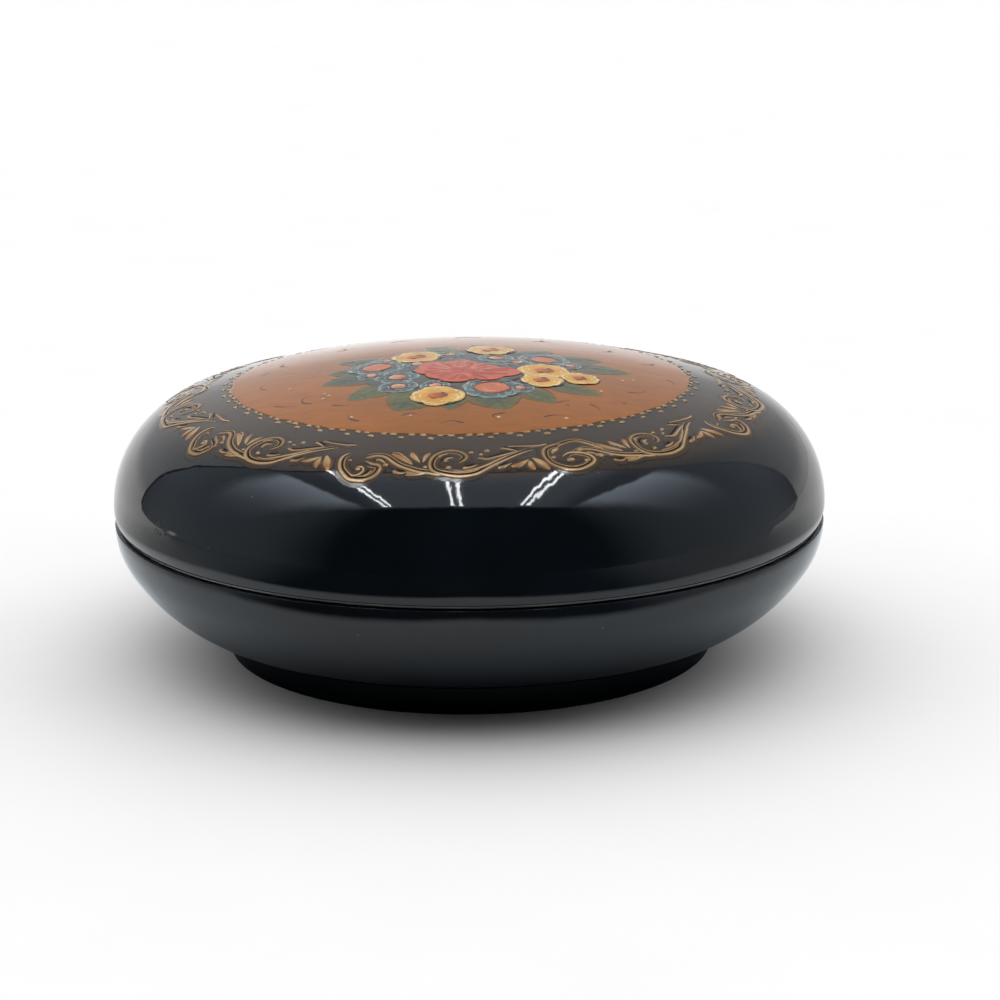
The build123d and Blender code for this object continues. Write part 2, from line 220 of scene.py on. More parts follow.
def corner(before, point, after, reach, count=5):
    """Rounded corner: a parabola that leaves one side and joins the other, reach from the corner."""
    before, point, after = (np.asarray(p, float) for p in (before, point, after))
    start = point + (before - point) / np.linalg.norm(before - point) * reach
    end = point + (after - point) / np.linalg.norm(after - point) * reach
    share = np.linspace(0.0, 1.0, count + 1)[:, None]
    return start * (1.0 - share) ** 2 + point * 2.0 * share * (1.0 - share) + end * share ** 2


def joined(*runs):
    """One section out of several runs, with doubled points dropped."""
    points = np.concatenate(runs)
    step = np.linalg.norm(np.diff(points, axis=0), axis=1)
    return points[np.concatenate([[True], step > TOUCHING])]


def dome_numbers(sizes):
    """Radius and height of the shoulder's centre, height of the crown's centre, their shared angle."""
    belt = sizes.lid_radius - sizes.shoulder_radius
    drop = np.sqrt((sizes.crown_radius - sizes.shoulder_radius) ** 2 - belt ** 2)
    return belt, sizes.belly_height, sizes.belly_height - drop, np.arctan2(drop, belt)


def on_dome(sizes, x, y, lift):
    """Points lift above the lid's surface, over a plan x, y: on the crown's ball or the shoulder's ring."""
    belt, belly, centre, hand_over = dome_numbers(sizes)
    radius = np.hypot(x, y)
    safe = np.maximum(radius, 1e-9)
    rise = np.sqrt(np.maximum(sizes.crown_radius ** 2 - radius ** 2, 0.0))
    reach = np.clip((radius - belt) / sizes.shoulder_radius, -1.0, 0.9999)
    on_crown = radius < sizes.crown_radius * np.cos(hand_over)
    tilt = np.where(on_crown, radius / sizes.crown_radius, reach)
    up = np.sqrt(1.0 - tilt ** 2)
    height = np.where(on_crown, centre + rise, belly + sizes.shoulder_radius * up)
    return np.stack([x + x / safe * tilt * lift, y + y / safe * tilt * lift, height + up * lift], axis=-1)


def lid_section(sizes):
    """Lid: inside from the axis down to the rim, across it, and up the outside back to the axis."""
    belt, belly, centre, hand_over = dome_numbers(sizes)
    quarter = np.pi / 2
    wall = sizes.lid_wall
    inner = sizes.lid_radius - wall
    outer = (sizes.lid_radius - sizes.rim_inset, sizes.rim_height)
    fall = belly - sizes.rim_height
    curl = (sizes.rim_inset ** 2 + fall ** 2) / (2.0 * sizes.rim_inset)
    curl_angle = np.arcsin(fall / curl)
    curled = arc((sizes.lid_radius - curl, belly), curl, -curl_angle, 0.0, 14)
    rim_inner = (inner, sizes.rim_height)
    inner_wall = line((inner, belly), (inner, sizes.rim_height + sizes.edge_round), 4)
    return joined(
        arc((0.0, centre), sizes.crown_radius - wall, quarter, hand_over, 30),
        arc((belt, belly), sizes.shoulder_radius - wall, hand_over, 0.0, 20),
        inner_wall,
        corner((inner, belly), rim_inner, outer, sizes.edge_round),
        corner(rim_inner, outer, curled[3], sizes.edge_round),
        curled[4:],
        arc((belt, belly), sizes.shoulder_radius, 0.0, hand_over, 48),
        arc((0.0, centre), sizes.crown_radius, hand_over, quarter, 48),
    )


def bowl_arcs(sizes, inset):
    """Heel, side and rim bend of the bowl from the underside up, moved in by inset."""
    rim_centre = np.array([sizes.bowl_radius - sizes.rim_round, sizes.rim_height - sizes.rim_band])
    rim_turn = np.array([np.cos(sizes.rim_angle), -np.sin(sizes.rim_angle)])
    side_turn = np.array([np.cos(sizes.side_angle), -np.sin(sizes.side_angle)])
    heel = sizes.heel_radius
    fall = rim_centre[1] - sizes.foot_height - heel
    side = (fall + sizes.rim_round * rim_turn[1] - heel * side_turn[1]) / (rim_turn[1] - side_turn[1])
    side_centre = rim_centre + (sizes.rim_round - side) * rim_turn
    heel_centre = side_centre + (side - heel) * side_turn
    return joined(
        arc(heel_centre, heel - inset, -np.pi / 2, -sizes.side_angle, 16),
        arc(side_centre, side - inset, -sizes.side_angle, -sizes.rim_angle, 30),
        arc(rim_centre, sizes.rim_round - inset, -sizes.rim_angle, 0.0, 20),
    )


def bowl_section(sizes):
    """Bowl: underside from the axis, up the outside, over the rim, down the rebate and the inside."""
    outer = bowl_arcs(sizes, 0.0)
    inner = bowl_arcs(sizes, sizes.bowl_wall)
    edge = sizes.edge_round / 8.0       # the bowl's rim is crisper than the lid's
    rim_outer = (sizes.bowl_radius, sizes.rim_height)
    rim_inner = (sizes.collar_radius, sizes.rim_height)
    ledge_outer = (sizes.collar_radius, sizes.collar_foot)
    ledge = np.interp(sizes.collar_foot, inner[:, 1], inner[:, 0])
    ledge_inner = (ledge, sizes.collar_foot)
    below = inner[inner[:, 1] < sizes.collar_foot - 0.05 * MM][::-1]
    return joined(
        line((0.0, outer[0, 1]), outer[0], 12),
        outer,
        line(outer[-1], (sizes.bowl_radius, sizes.rim_height - edge), 3),
        corner(outer[-1], rim_outer, rim_inner, edge),
        line((sizes.bowl_radius - edge, sizes.rim_height), rim_inner, 2),
        line(rim_inner, ledge_outer, 3),
        line(ledge_outer, ledge_inner, 2),
        below,
        line(below[-1], (0.0, below[-1, 1]), 12),
    )


def collar_section(sizes):
    """Collar: a closed strip, upright, with a softened upper edge."""
    outer = sizes.collar_radius
    inner = outer - sizes.collar_wall
    low, high = sizes.collar_foot, sizes.collar_top
    edge = 0.5 * MM
    return joined(
        line((inner, low), (outer, low), 2),
        line((outer, low), (outer, high - edge), 6),
        corner((outer, low), (outer, high), (inner, high), edge),
        corner((outer, high), (inner, high), (inner, low), edge),
        line((inner, high - edge), (inner, low), 6)[:-1],
    )


def foot_section(sizes):
    """Foot ring: a closed rectangle with softened lower edges."""
    outer = sizes.foot_radius
    inner = outer - sizes.foot_width
    high = sizes.foot_height
    edge = 0.5 * MM
    return joined(
        corner((inner, high), (inner, 0.0), (outer, 0.0), edge),
        corner((inner, 0.0), (outer, 0.0), (outer, high), edge),
        line((outer, edge), (outer, high), 6),
        line((outer, high), (inner, high), 3),
        line((inner, high), (inner, edge), 6)[:-1],
    )


# Meshes


def grid_faces(rows, columns, first=0, wrap_rows=False):
    """Quads of a grid of points that closes on itself across the columns, and along the rows if asked."""
    index = first + np.arange(rows * columns).reshape(rows, columns)
    if wrap_rows:
        index = np.concatenate([index, index[:1]])
    beside = np.roll(index, -1, axis=1)
    quads = [index[:-1], beside[:-1], beside[1:], index[1:]]
    return np.stack(quads, axis=-1).reshape(-1, 4)


def fan_faces(ring, pole, outwards):
    """Triangles from a closed ring of points to the point that closes it."""
    beside = np.roll(ring, -1)
    tip = np.full_like(ring, pole)
    first, second = (ring, beside) if outwards else (beside, ring)
    return np.stack([first, second, tip], axis=-1)


def lathe(section, turns):
    """Turned shape: each point of the section (r, z) becomes r cos t, r sin t, z for t round the axis."""
    turn = np.linspace(0.0, 2.0 * np.pi, turns, endpoint=False)
    poles = section[0, 0] < TOUCHING
    rings = section[1:-1] if poles else section
    points = np.stack(
        [
            rings[:, :1] * np.cos(turn),
            rings[:, :1] * np.sin(turn),
            np.repeat(rings[:, 1:], turns, axis=1),
        ],
        axis=-1,
    ).reshape(-1, 3)
    faces = [grid_faces(len(rings), turns, wrap_rows=not poles)]
    if poles:
        ends = np.array([[0.0, 0.0, section[0, 1]], [0.0, 0.0, section[-1, 1]]])
        count = len(points)
        points = np.concatenate([points, ends])
        faces.append(fan_faces(np.arange(turns), count, False))
        faces.append(fan_faces(np.arange(count - turns, count), count + 1, True))
    return points, faces


def smooth_path(points, count):
    """Even samples of a curve through the points, whose slope at each is half the step across it."""
    points = np.asarray(points, float)
    ends = [2.0 * points[0] - points[1], *points, 2.0 * points[-1] - points[-2]]
    padded = np.array(ends)
    spot = np.linspace(0.0, len(points) - 1.0, count)
    knot = np.minimum(spot.astype(int), len(points) - 2)
    share = (spot - knot)[:, None]
    a, b, c, d = (padded[knot + shift] for shift in range(4))
    return 0.5 * (
        2.0 * b + (c - a) * share + (2.0 * a - 5.0 * b + 4.0 * c - d) * share ** 2
        + (3.0 * b - a - 3.0 * c + d) * share ** 3
    )


def stroke_shape(kind, along):
    """Half width of a brush stroke along its run, as a share of its widest half width.

    A line swells a little, a comma has a round head and a long tail, a leaf is widest just before its
    middle and a petal past it, and a dot is round.
    """
    if kind == "line":
        entry = np.clip(along / 0.07, 0, 1)
        leaving = np.clip((1 - along) / 0.12, 0, 1)
        return np.sqrt(entry * leaving) * (0.82 + 0.18 * np.sin(np.pi * along))
    if kind == "comma":
        head = np.sqrt(np.clip(1 - (1 - np.clip(along / 0.22, 0, 1)) ** 2, 0, 1))
        tail = 1 - 0.88 * np.clip((along - 0.22) / 0.78, 0, 1)
        return head * tail * np.sqrt(np.clip((1 - along) / 0.05, 0, 1))
    if kind == "leaf":
        return np.sin(np.pi * along ** 0.85) ** 0.85
    if kind == "petal":
        return np.sin(np.pi * np.clip(along, 0, 1) ** 1.45) ** 0.62
    return np.sqrt(np.clip(1 - (2 * along - 1) ** 2, 0, 1))


def stroke(path, width, height, kind, steps, around, lift=0.0, tone=0.5, dish=0.0):
    """One raised brush stroke: its plan path, widest width and height, and how much its middle dips.

    Steps are its points along the path and around those of a ring. Its tone varies its colour.
    """
    return {
        "path": path,
        "width": width,
        "height": height,
        "kind": kind,
        "steps": steps,
        "around": around,
        "lift": lift,
        "tone": tone,
        "dish": dish,
    }


def brushwork(sizes, strokes):
    """Closed strokes laid on the dome: rings half round above the surface and shallow below it.

    A ring's points are offset sideways by half width times cos t and lifted by height times sin t,
    and both ends close in a point. Each point keeps how far along and across its stroke it lies.
    """
    all_points, all_faces, all_uvs, all_tones = [], [], [], []
    first = 0
    for item in strokes:
        steps, around = item["steps"], item["around"]
        spine = smooth_path(item["path"], steps)
        ahead = np.gradient(spine, axis=0)
        ahead /= np.maximum(np.linalg.norm(ahead, axis=1, keepdims=True), 1e-12)
        side = np.stack([-ahead[:, 1], ahead[:, 0]], axis=1)
        along = np.linspace(0.0, 1.0, steps)
        half = item["width"] / 2 * stroke_shape(item["kind"], along)
        turn = np.linspace(0.0, 2.0 * np.pi, around, endpoint=False)
        across = np.cos(turn)
        bulge = np.sin(turn)
        crest = item["height"] * np.clip(half / max(item["width"] / 2, 1e-9), 0, 1)[:, None] ** 0.5
        top = crest * bulge * (1.0 - item["dish"] * (1.0 - np.abs(across)) ** 1.5)
        rise = np.where(bulge > 0, top, SINK * bulge) + item["lift"]
        plan = spine[:, None, :] + side[:, None, :] * (half[:, None] * across)[:, :, None]
        rings = on_dome(sizes, plan[1:-1, :, 0], plan[1:-1, :, 1], rise[1:-1])
        tips = on_dome(sizes, spine[[0, -1], 0], spine[[0, -1], 1], item["lift"] - SINK / 2)
        count = (steps - 2) * around
        all_points += [rings.reshape(-1, 3), tips]
        all_faces.append(grid_faces(steps - 2, around, first)[:, ::-1])
        all_faces.append(fan_faces(np.arange(first, first + around), first + count, True))
        last_ring = np.arange(first + count - around, first + count)
        all_faces.append(fan_faces(last_ring, first + count + 1, False))
        uv = np.stack(np.broadcast_arrays(along[1:-1, None], 0.5 + 0.5 * across), axis=-1)
        all_uvs += [uv.reshape(-1, 2), np.array([[0.0, 0.5], [1.0, 0.5]])]
        all_tones.append(np.full(count + 2, item["tone"]))
        first += count + 2
    return np.concatenate(all_points), all_faces, np.concatenate(all_uvs), np.concatenate(all_tones)


def piece(name, points, faces, material, body, replaced=(), uvs=None, tones=None):
    """Makes the object of one piece, smooth shaded, with its finish, its body and what it stands for."""
    mesh = bpy.data.meshes.new(name)
    mesh.from_pydata(points.tolist(), [], [face for group in faces for face in group.tolist()])
    mesh.polygons.foreach_set("use_smooth", np.ones(len(mesh.polygons), bool))
    if uvs is not None:
        corners = np.zeros(len(mesh.loops), np.int32)
        mesh.loops.foreach_get("vertex_index", corners)
        layer = mesh.uv_layers.new(name="Stroke")
        layer.data.foreach_set("uv", uvs[corners].astype(np.float32).ravel())
        shade = mesh.attributes.new("tone", "FLOAT", "POINT")
        shade.data.foreach_set("value", tones.astype(np.float32))
    mesh.materials.append(material)
    mesh.validate()
    mesh.update()
    made = bpy.data.objects.new(name, mesh)
    bpy.context.scene.collection.objects.link(made)
    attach(made, body)
    if replaced:
        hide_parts(*replaced)
    return made


def painted(name, strokes, material, replaced=()):
    """Makes a piece of brush strokes on the lid."""
    points, faces, uvs, tones = brushwork(bpy.context.scene.trinket_sizes, strokes)
    return piece(name, points, faces, material, "lid", replaced, uvs, tones)


# Materials


class Wiring:
    """Adds nodes to a tree. Every method but feed and node hands back the new node's output."""

    def __init__(self, tree):
        self.tree = tree

    def feed(self, node, values):
        """Sets a node's inputs to numbers, or links outputs into them."""
        for key, value in values.items():
            if isinstance(value, bpy.types.NodeSocket):
                self.tree.links.new(value, node.inputs[key])
            else:
                node.inputs[key].default_value = value

    def node(self, kind, values=None, **settings):
        """A node with its settings and its inputs."""
        made = self.tree.nodes.new(kind)
        for key, value in settings.items():
            setattr(made, key, value)
        self.feed(made, values or {})
        return made

    def group(self, tree, values):
        """A placed node group, as a node."""
        return self.node("ShaderNodeGroup", values, node_tree=tree)

    def math(self, operation, a, b=0.0):
        """One sum."""
        return self.node("ShaderNodeMath", {0: a, 1: b}, operation=operation).outputs[0]

    def plus(self, a, b):
        """The first plus the second."""
        return self.math("ADD", a, b)

    def minus(self, a, b):
        """The first less the second."""
        return self.math("SUBTRACT", a, b)

    def times(self, a, b):
        """The first times the second."""
        return self.math("MULTIPLY", a, b)

    def over(self, a, b):
        """The first divided by the second."""
        return self.math("DIVIDE", a, b)

    def larger(self, a, b):
        """The larger of the two."""
        return self.math("MAXIMUM", a, b)

    def size(self, a):
        """A number without its sign."""
        return self.math("ABSOLUTE", a)

    def vector(self, operation, a, b=(0.0, 0.0, 0.0), scale=1.0):
        """One sum of vectors."""
        return self.node("ShaderNodeVectorMath", {0: a, 1: b, 3: scale}, operation=operation).outputs[0]

    def distance(self, a):
        """Length of a vector."""
        return self.node("ShaderNodeVectorMath", {0: a}, operation="LENGTH").outputs["Value"]

    def between(self, share, a, b):
        """Blend of two vectors."""
        return self.node("ShaderNodeMix", {0: share, 4: a, 5: b}, data_type="VECTOR").outputs[1]

    def position(self):
        """Object coordinates."""
        return self.node("ShaderNodeTexCoord").outputs["Object"]

    def parts(self, a):
        """The three parts of a vector."""
        return self.node("ShaderNodeSeparateXYZ", {0: a}).outputs

    def step(self, value, low, high, start=0.0, end=1.0):
        """Smooth ramp of a value from low to high."""
        values = {"Value": value, "From Min": low, "From Max": high, "To Min": start, "To Max": end}
        made = self.node("ShaderNodeMapRange", values, interpolation_type="SMOOTHSTEP")
        return made.outputs["Result"]

    def mix(self, share, a, b, blend="MIX"):
        """Blend of two colours, each given as numbers or an output."""
        linked = bpy.types.NodeSocket
        a, b = (value if isinstance(value, linked) else (*value[:3], 1.0) for value in (a, b))
        made = self.node("ShaderNodeMix", {0: share, 6: a, 7: b}, data_type="RGBA", blend_type=blend)
        return made.outputs[2]

    def noise(self, where, scale, detail=3.0, roughness=0.5, distortion=0.0):
        """Cloudy noise, 0 to 1."""
        values = {
            "Vector": where,
            "Scale": scale,
            "Detail": detail,
            "Roughness": roughness,
            "Distortion": distortion,
        }
        return self.node("ShaderNodeTexNoise", values).outputs[0]

    def specks(self, where, channel, rare, edge):
        """Round specks near the points of a cell pattern, in the few cells whose channel is high."""
        cells = self.node("ShaderNodeTexVoronoi", {"Vector": where, "Scale": 330.0, "Randomness": 1.0})
        draw = self.node("ShaderNodeSeparateColor", {0: cells.outputs["Color"]}).outputs[channel]
        return self.times(self.step(cells.outputs["Distance"], *edge), self.step(draw, *rare))

    def stretch(self, where, scale):
        """Coordinates multiplied along each axis."""
        return self.node("ShaderNodeMapping", {"Vector": where, "Scale": scale}).outputs[0]


def group_start(name, inputs, outputs, kind="NodeSocketFloat"):
    """A shader group with numbers for inputs and named outputs, its wiring, first and last node."""
    tree = bpy.data.node_groups.new(name, "ShaderNodeTree")
    for socket_name, default in inputs.items():
        socket = tree.interface.new_socket(socket_name, in_out="INPUT", socket_type="NodeSocketFloat")
        socket.default_value = default
    for socket_name in outputs:
        tree.interface.new_socket(socket_name, in_out="OUTPUT", socket_type=kind)
    wires = Wiring(tree)
    return tree, wires, wires.node("NodeGroupInput"), wires.node("NodeGroupOutput")


def varnish_group():
    """Surface of hand-laid varnish: slow waves, fine orange peel, smears and caught dust."""
    known = bpy.data.node_groups.get("Hand varnish")
    if known:
        return known
    inputs = {"Gloss": 0.06, "Smear": 0.06, "Waves": 1.0, "Dust": 1.0}
    tree, wires, start, end = group_start("Hand varnish", inputs, ("Roughness", "Height", "Dust"))
    where = wires.position()
    waves = wires.noise(where, 170.0, 2.0, 0.45)
    ripple = wires.noise(where, 620.0, 2.0, 0.5)
    peel = wires.noise(where, 1500.0, 1.0, 0.5)
    height = wires.times(waves, start.outputs["Waves"])
    height = wires.plus(height, wires.times(ripple, 0.10))
    height = wires.plus(height, wires.times(peel, 0.012))
    speck = wires.specks(where, 0, (0.86, 0.88), (0.055, 0.030))
    speck = wires.times(speck, start.outputs["Dust"])
    height = wires.plus(height, wires.times(speck, 0.08))
    smears = wires.noise(wires.stretch(where, (1.0, 1.0, 2.6)), 55.0, 5.0, 0.62, 0.6)
    rough = wires.times(wires.step(smears, 0.42, 0.72), start.outputs["Smear"])
    rough = wires.plus(rough, start.outputs["Gloss"])
    rough = wires.plus(rough, wires.times(speck, 0.4))
    wires.feed(end, {"Roughness": rough, "Height": height, "Dust": speck})
    return tree


def streak_group():
    """Bristle streaks that run along a stroke, and a mask of its edge with a ragged border."""
    known = bpy.data.node_groups.get("Brush streaks")
    if known:
        return known
    inputs = {"Along": 0.0, "Across": 0.5, "Tone": 0.5, "Bristles": 14.0, "Tip": 0.0, "Core": 0.66}
    tree, wires, start, end = group_start("Brush streaks", inputs, ("Streak", "Edge"))
    along, across, tone, bristles, tip, core = (start.outputs[name] for name in inputs)
    run = wires.times(along, 2.2)
    row = wires.times(across, bristles)
    layer = wires.times(tone, 37.0)
    stretched = wires.node("ShaderNodeCombineXYZ", {0: run, 1: row, 2: layer}).outputs[0]
    streak = wires.step(wires.noise(stretched, 1.0, 3.0, 0.6), 0.32, 0.68)
    off_middle = wires.size(wires.minus(across, 0.5))
    outward = wires.larger(wires.times(off_middle, 2.0), wires.times(along, tip))
    ragged = wires.times(wires.minus(streak, 0.5), 0.16)
    past_core = wires.minus(wires.plus(outward, ragged), core)
    wires.feed(end, {"Streak": streak, "Edge": wires.step(past_core, 0.0, 0.24)})
    return tree


def dome_normal_group():
    """Normal of paint under varnish: part the stroke's own, part that of the smooth dome below it.

    The dome's normal points from the crown's centre, or from the shoulder ring's centre line.
    """
    known = bpy.data.node_groups.get("Varnished dome")
    if known:
        return known
    sizes = bpy.context.scene.trinket_sizes
    belt, belly, centre, hand_over = dome_numbers(sizes)
    tree, wires, start, end = group_start("Varnished dome", {"Relief": 0.5}, ("Normal",), "NodeSocketVector")
    where = wires.position()
    flat = wires.vector("MULTIPLY", where, ALONG_FLOOR)
    radius = wires.distance(flat)
    share = wires.over(belt, wires.larger(radius, 0.1 * MM))
    ring = wires.vector("ADD", wires.vector("SCALE", flat, scale=share), (0.0, 0.0, belly))
    on_ring = wires.math("GREATER_THAN", radius, sizes.crown_radius * np.cos(hand_over))
    middle = wires.between(on_ring, (0.0, 0.0, centre), ring)
    smooth = wires.vector("NORMALIZE", wires.vector("SUBTRACT", where, middle))
    own = wires.node("ShaderNodeNewGeometry").outputs["Normal"]
    blend = wires.between(start.outputs["Relief"], smooth, own)
    wires.feed(end, {"Normal": wires.vector("NORMALIZE", blend)})
    return tree


def material_start(name, ior=1.5):
    """A fresh material, its wiring and its Principled node."""
    material = bpy.data.materials.new(name)
    material.use_nodes = True
    shader = material.node_tree.nodes["Principled BSDF"]
    shader.inputs["IOR"].default_value = ior
    return material, Wiring(material.node_tree), shader


def add_bump(wires, shader, height, distance, relief=None):
    """Surface relief from a height, at a real distance; on the varnished dome if a relief is given."""
    values = {"Height": height, "Distance": distance}
    if relief is not None:
        values["Normal"] = wires.group(dome_normal_group(), {"Relief": relief}).outputs["Normal"]
    wires.feed(shader, {"Normal": wires.node("ShaderNodeBump", values).outputs[0]})


def use_varnish(wires, gloss, smear, waves=1.0, dust=1.0):
    """The varnish group placed in a material."""
    return wires.group(varnish_group(), {"Gloss": gloss, "Smear": smear, "Waves": waves, "Dust": dust})


def lid_marks(wires, where, cloud, surface, rough, rim):
    """Marks of the lid: a pale line below the rim height, partly rubbed lacquer and partly a painted
    highlight, a brown tint under the border and a flaw.

    The pale line's painted highlight is made stronger at the left and right sides.
    """
    colours = bpy.context.scene.trinket_colours
    x, _, z = wires.parts(where)
    # pale rim line: rubbed lacquer and painted highlight
    rub_and_highlight = wires.times(wires.step(z, rim, rim - RUB_HIGHLIGHT_FADE), wires.step(cloud, 0.3, 0.6, 0.4, 0.8))
    # painted highlight: the pale rim line is made paler at the left and right sides
    side_highlight = wires.step(wires.size(x), 18.0 * MM, 42.0 * MM, 0.6, 1.25)
    surface = wires.mix(wires.times(rub_and_highlight, side_highlight), surface, colours.rub_and_highlight)
    out = wires.distance(wires.vector("MULTIPLY", where, ALONG_FLOOR))
    ring = wires.times(wires.step(out, *TINT_INNER), wires.step(out, *TINT_OUTER))
    patches = wires.step(cloud, 0.3, 0.65, 0.7, 1.0)
    surface = wires.mix(wires.times(ring, patches), surface, colours.tint)
    gap = wires.vector("SUBTRACT", where, BLEMISH)
    flaws = wires.step(wires.noise(where, 800.0, 3.0, 0.6, 1.5), 0.50, 0.62)
    mark = wires.times(wires.step(wires.distance(gap), 2.2 * MM, 1.2 * MM), flaws)
    rough = wires.plus(rough, wires.times(mark, 0.6))
    scrape = wires.vector("MULTIPLY", wires.vector("SUBTRACT", gap, SCRAPE), SCRAPE_SQUEEZE)
    scraped = wires.step(wires.distance(scrape), 0.9 * MM, 0.1 * MM, 0.0, 0.45)
    return wires.mix(scraped, surface, colours.rub_and_highlight), rough


def lacquer_material(name, base, gloss, smear, waves=1.0, dust=1.0, worn=0.0, rim=None, shine=0.5):
    """Black lacquer: nearly black, a little uneven, with dust, and worn brown near the floor if asked.

    A rim height adds the lid's own marks, among them a pale rim line that is partly a painted highlight.
    """
    colours = bpy.context.scene.trinket_colours
    material, wires, shader = material_start(name)
    where = wires.position()
    cloud = wires.noise(where, 38.0, 4.0, 0.55)
    lighter = [min(1.0, channel * 1.9 + 0.001) for channel in base]
    surface = wires.mix(wires.step(cloud, 0.35, 0.7), base, lighter)
    varnish = use_varnish(wires, gloss, smear, waves, dust)
    if worn:
        rub = wires.step(wires.noise(where, 420.0, 4.0, 0.7), 0.60, 0.70)
        low = wires.step(wires.parts(where)[2], 0.9 * MM, 0.1 * MM)
        surface = wires.mix(wires.times(wires.times(rub, low), worn), surface, WORN_BROWN)
    surface = wires.mix(varnish.outputs["Dust"], surface, colours.dust)
    rough = varnish.outputs["Roughness"]
    if rim is not None:
        surface, rough = lid_marks(wires, where, cloud, surface, rough, rim)
    wires.feed(shader, {"Base Color": surface, "Roughness": rough, "Specular IOR Level": shine})
    add_bump(wires, shader, varnish.outputs["Height"], 0.045 * MM)
    return material


def stroke_inputs(wires):
    """How far along and across its stroke a point is, and the stroke's own tone."""
    along, across, _ = wires.parts(wires.node("ShaderNodeUVMap", uv_map="Stroke").outputs[0])
    tone = wires.node("ShaderNodeAttribute", attribute_name="tone", attribute_type="GEOMETRY")
    return along, across, tone.outputs["Fac"]


def paint_material(
    name, root, tip, edge, bristles, metal=0.0, edge_share=0.6, tone_mix=0.5, at_tip=0.0, relief=0.35,
    core=0.66, mottle=0.2,
):
    """Brush paint: from the root's colour to the tip's, streaked along, with its own edge colour."""
    material, wires, shader = material_start(name, PAINT_IOR)
    along, across, tone = stroke_inputs(wires)
    streaks = wires.group(streak_group(), {
        "Along": along, "Across": across, "Tone": tone, "Bristles": bristles, "Tip": at_tip, "Core": core,
    })
    where = wires.position()
    travel = wires.plus(along, wires.times(wires.minus(tone, 0.5), tone_mix))
    body = wires.mix(wires.step(travel, 0.15, 0.85), root, tip)
    dark = [channel * 0.5 for channel in root]
    body = wires.mix(wires.times(streaks.outputs["Streak"], 0.4), body, dark)
    stains = wires.noise(where, 330.0, 3.0, 0.6, 0.8)
    body = wires.mix(wires.step(stains, 0.42, 0.66, 0.0, mottle), body, dark)
    patchy = wires.noise(where, 900.0, 3.0, 0.6)
    body = wires.mix(wires.step(patchy, 0.5, 0.8, 0.0, 0.35), body, tip)
    body = wires.mix(wires.times(streaks.outputs["Edge"], edge_share), body, edge)
    varnish = use_varnish(wires, 0.08, 0.10, 0.5, 0.4)
    wires.feed(shader, {"Base Color": body, "Roughness": varnish.outputs["Roughness"], "Metallic": metal})
    ridges = wires.plus(wires.times(streaks.outputs["Streak"], 0.25), varnish.outputs["Height"])
    add_bump(wires, shader, ridges, 0.03 * MM, relief)
    return material


def ochre_material():
    """Ochre ground: mottled, brushed across, with darker stains and fine specks."""
    colours = bpy.context.scene.trinket_colours
    material, wires, shader = material_start("ochre_enamel", PAINT_IOR)
    where = wires.position()
    broad = wires.step(wires.noise(where, 60.0, 4.0, 0.55), 0.35, 0.68)
    brushed = wires.noise(wires.stretch(where, (1.0, 3.2, 1.0)), 260.0, 4.0, 0.6)
    grain = wires.step(brushed, 0.38, 0.72)
    body = wires.mix(broad, colours.ochre, [channel * 1.18 for channel in colours.ochre])
    body = wires.mix(wires.times(grain, 0.45), body, colours.ochre_dark)
    speck = wires.specks(where, 1, (0.86, 0.9), (0.16, 0.08))
    body = wires.mix(wires.times(speck, 0.75), body, colours.ink)
    varnish = use_varnish(wires, 0.07, 0.08, 0.7, 0.6)
    wires.feed(shader, {"Base Color": body, "Roughness": varnish.outputs["Roughness"]})
    ridges = wires.plus(wires.times(grain, 0.10), varnish.outputs["Height"])
    add_bump(wires, shader, ridges, 0.04 * MM)
    return material


# Painting


def ring_point(degrees, radius):
    """Plan point of the border, at an angle from the front and a radius in millimetres.

    The hand-painted border sits a little off centre and runs tighter on the left.
    """
    turn = np.radians(np.asarray(degrees, float))
    turn = turn + np.radians(BORDER_PULL) * np.sin(turn) ** 2 * (np.sin(turn) < 0.0)
    radius = np.asarray(radius, float) * MM
    x, y = BORDER_PLACE
    return np.stack([radius * np.sin(turn) + x, y - radius * np.cos(turn)], axis=-1)


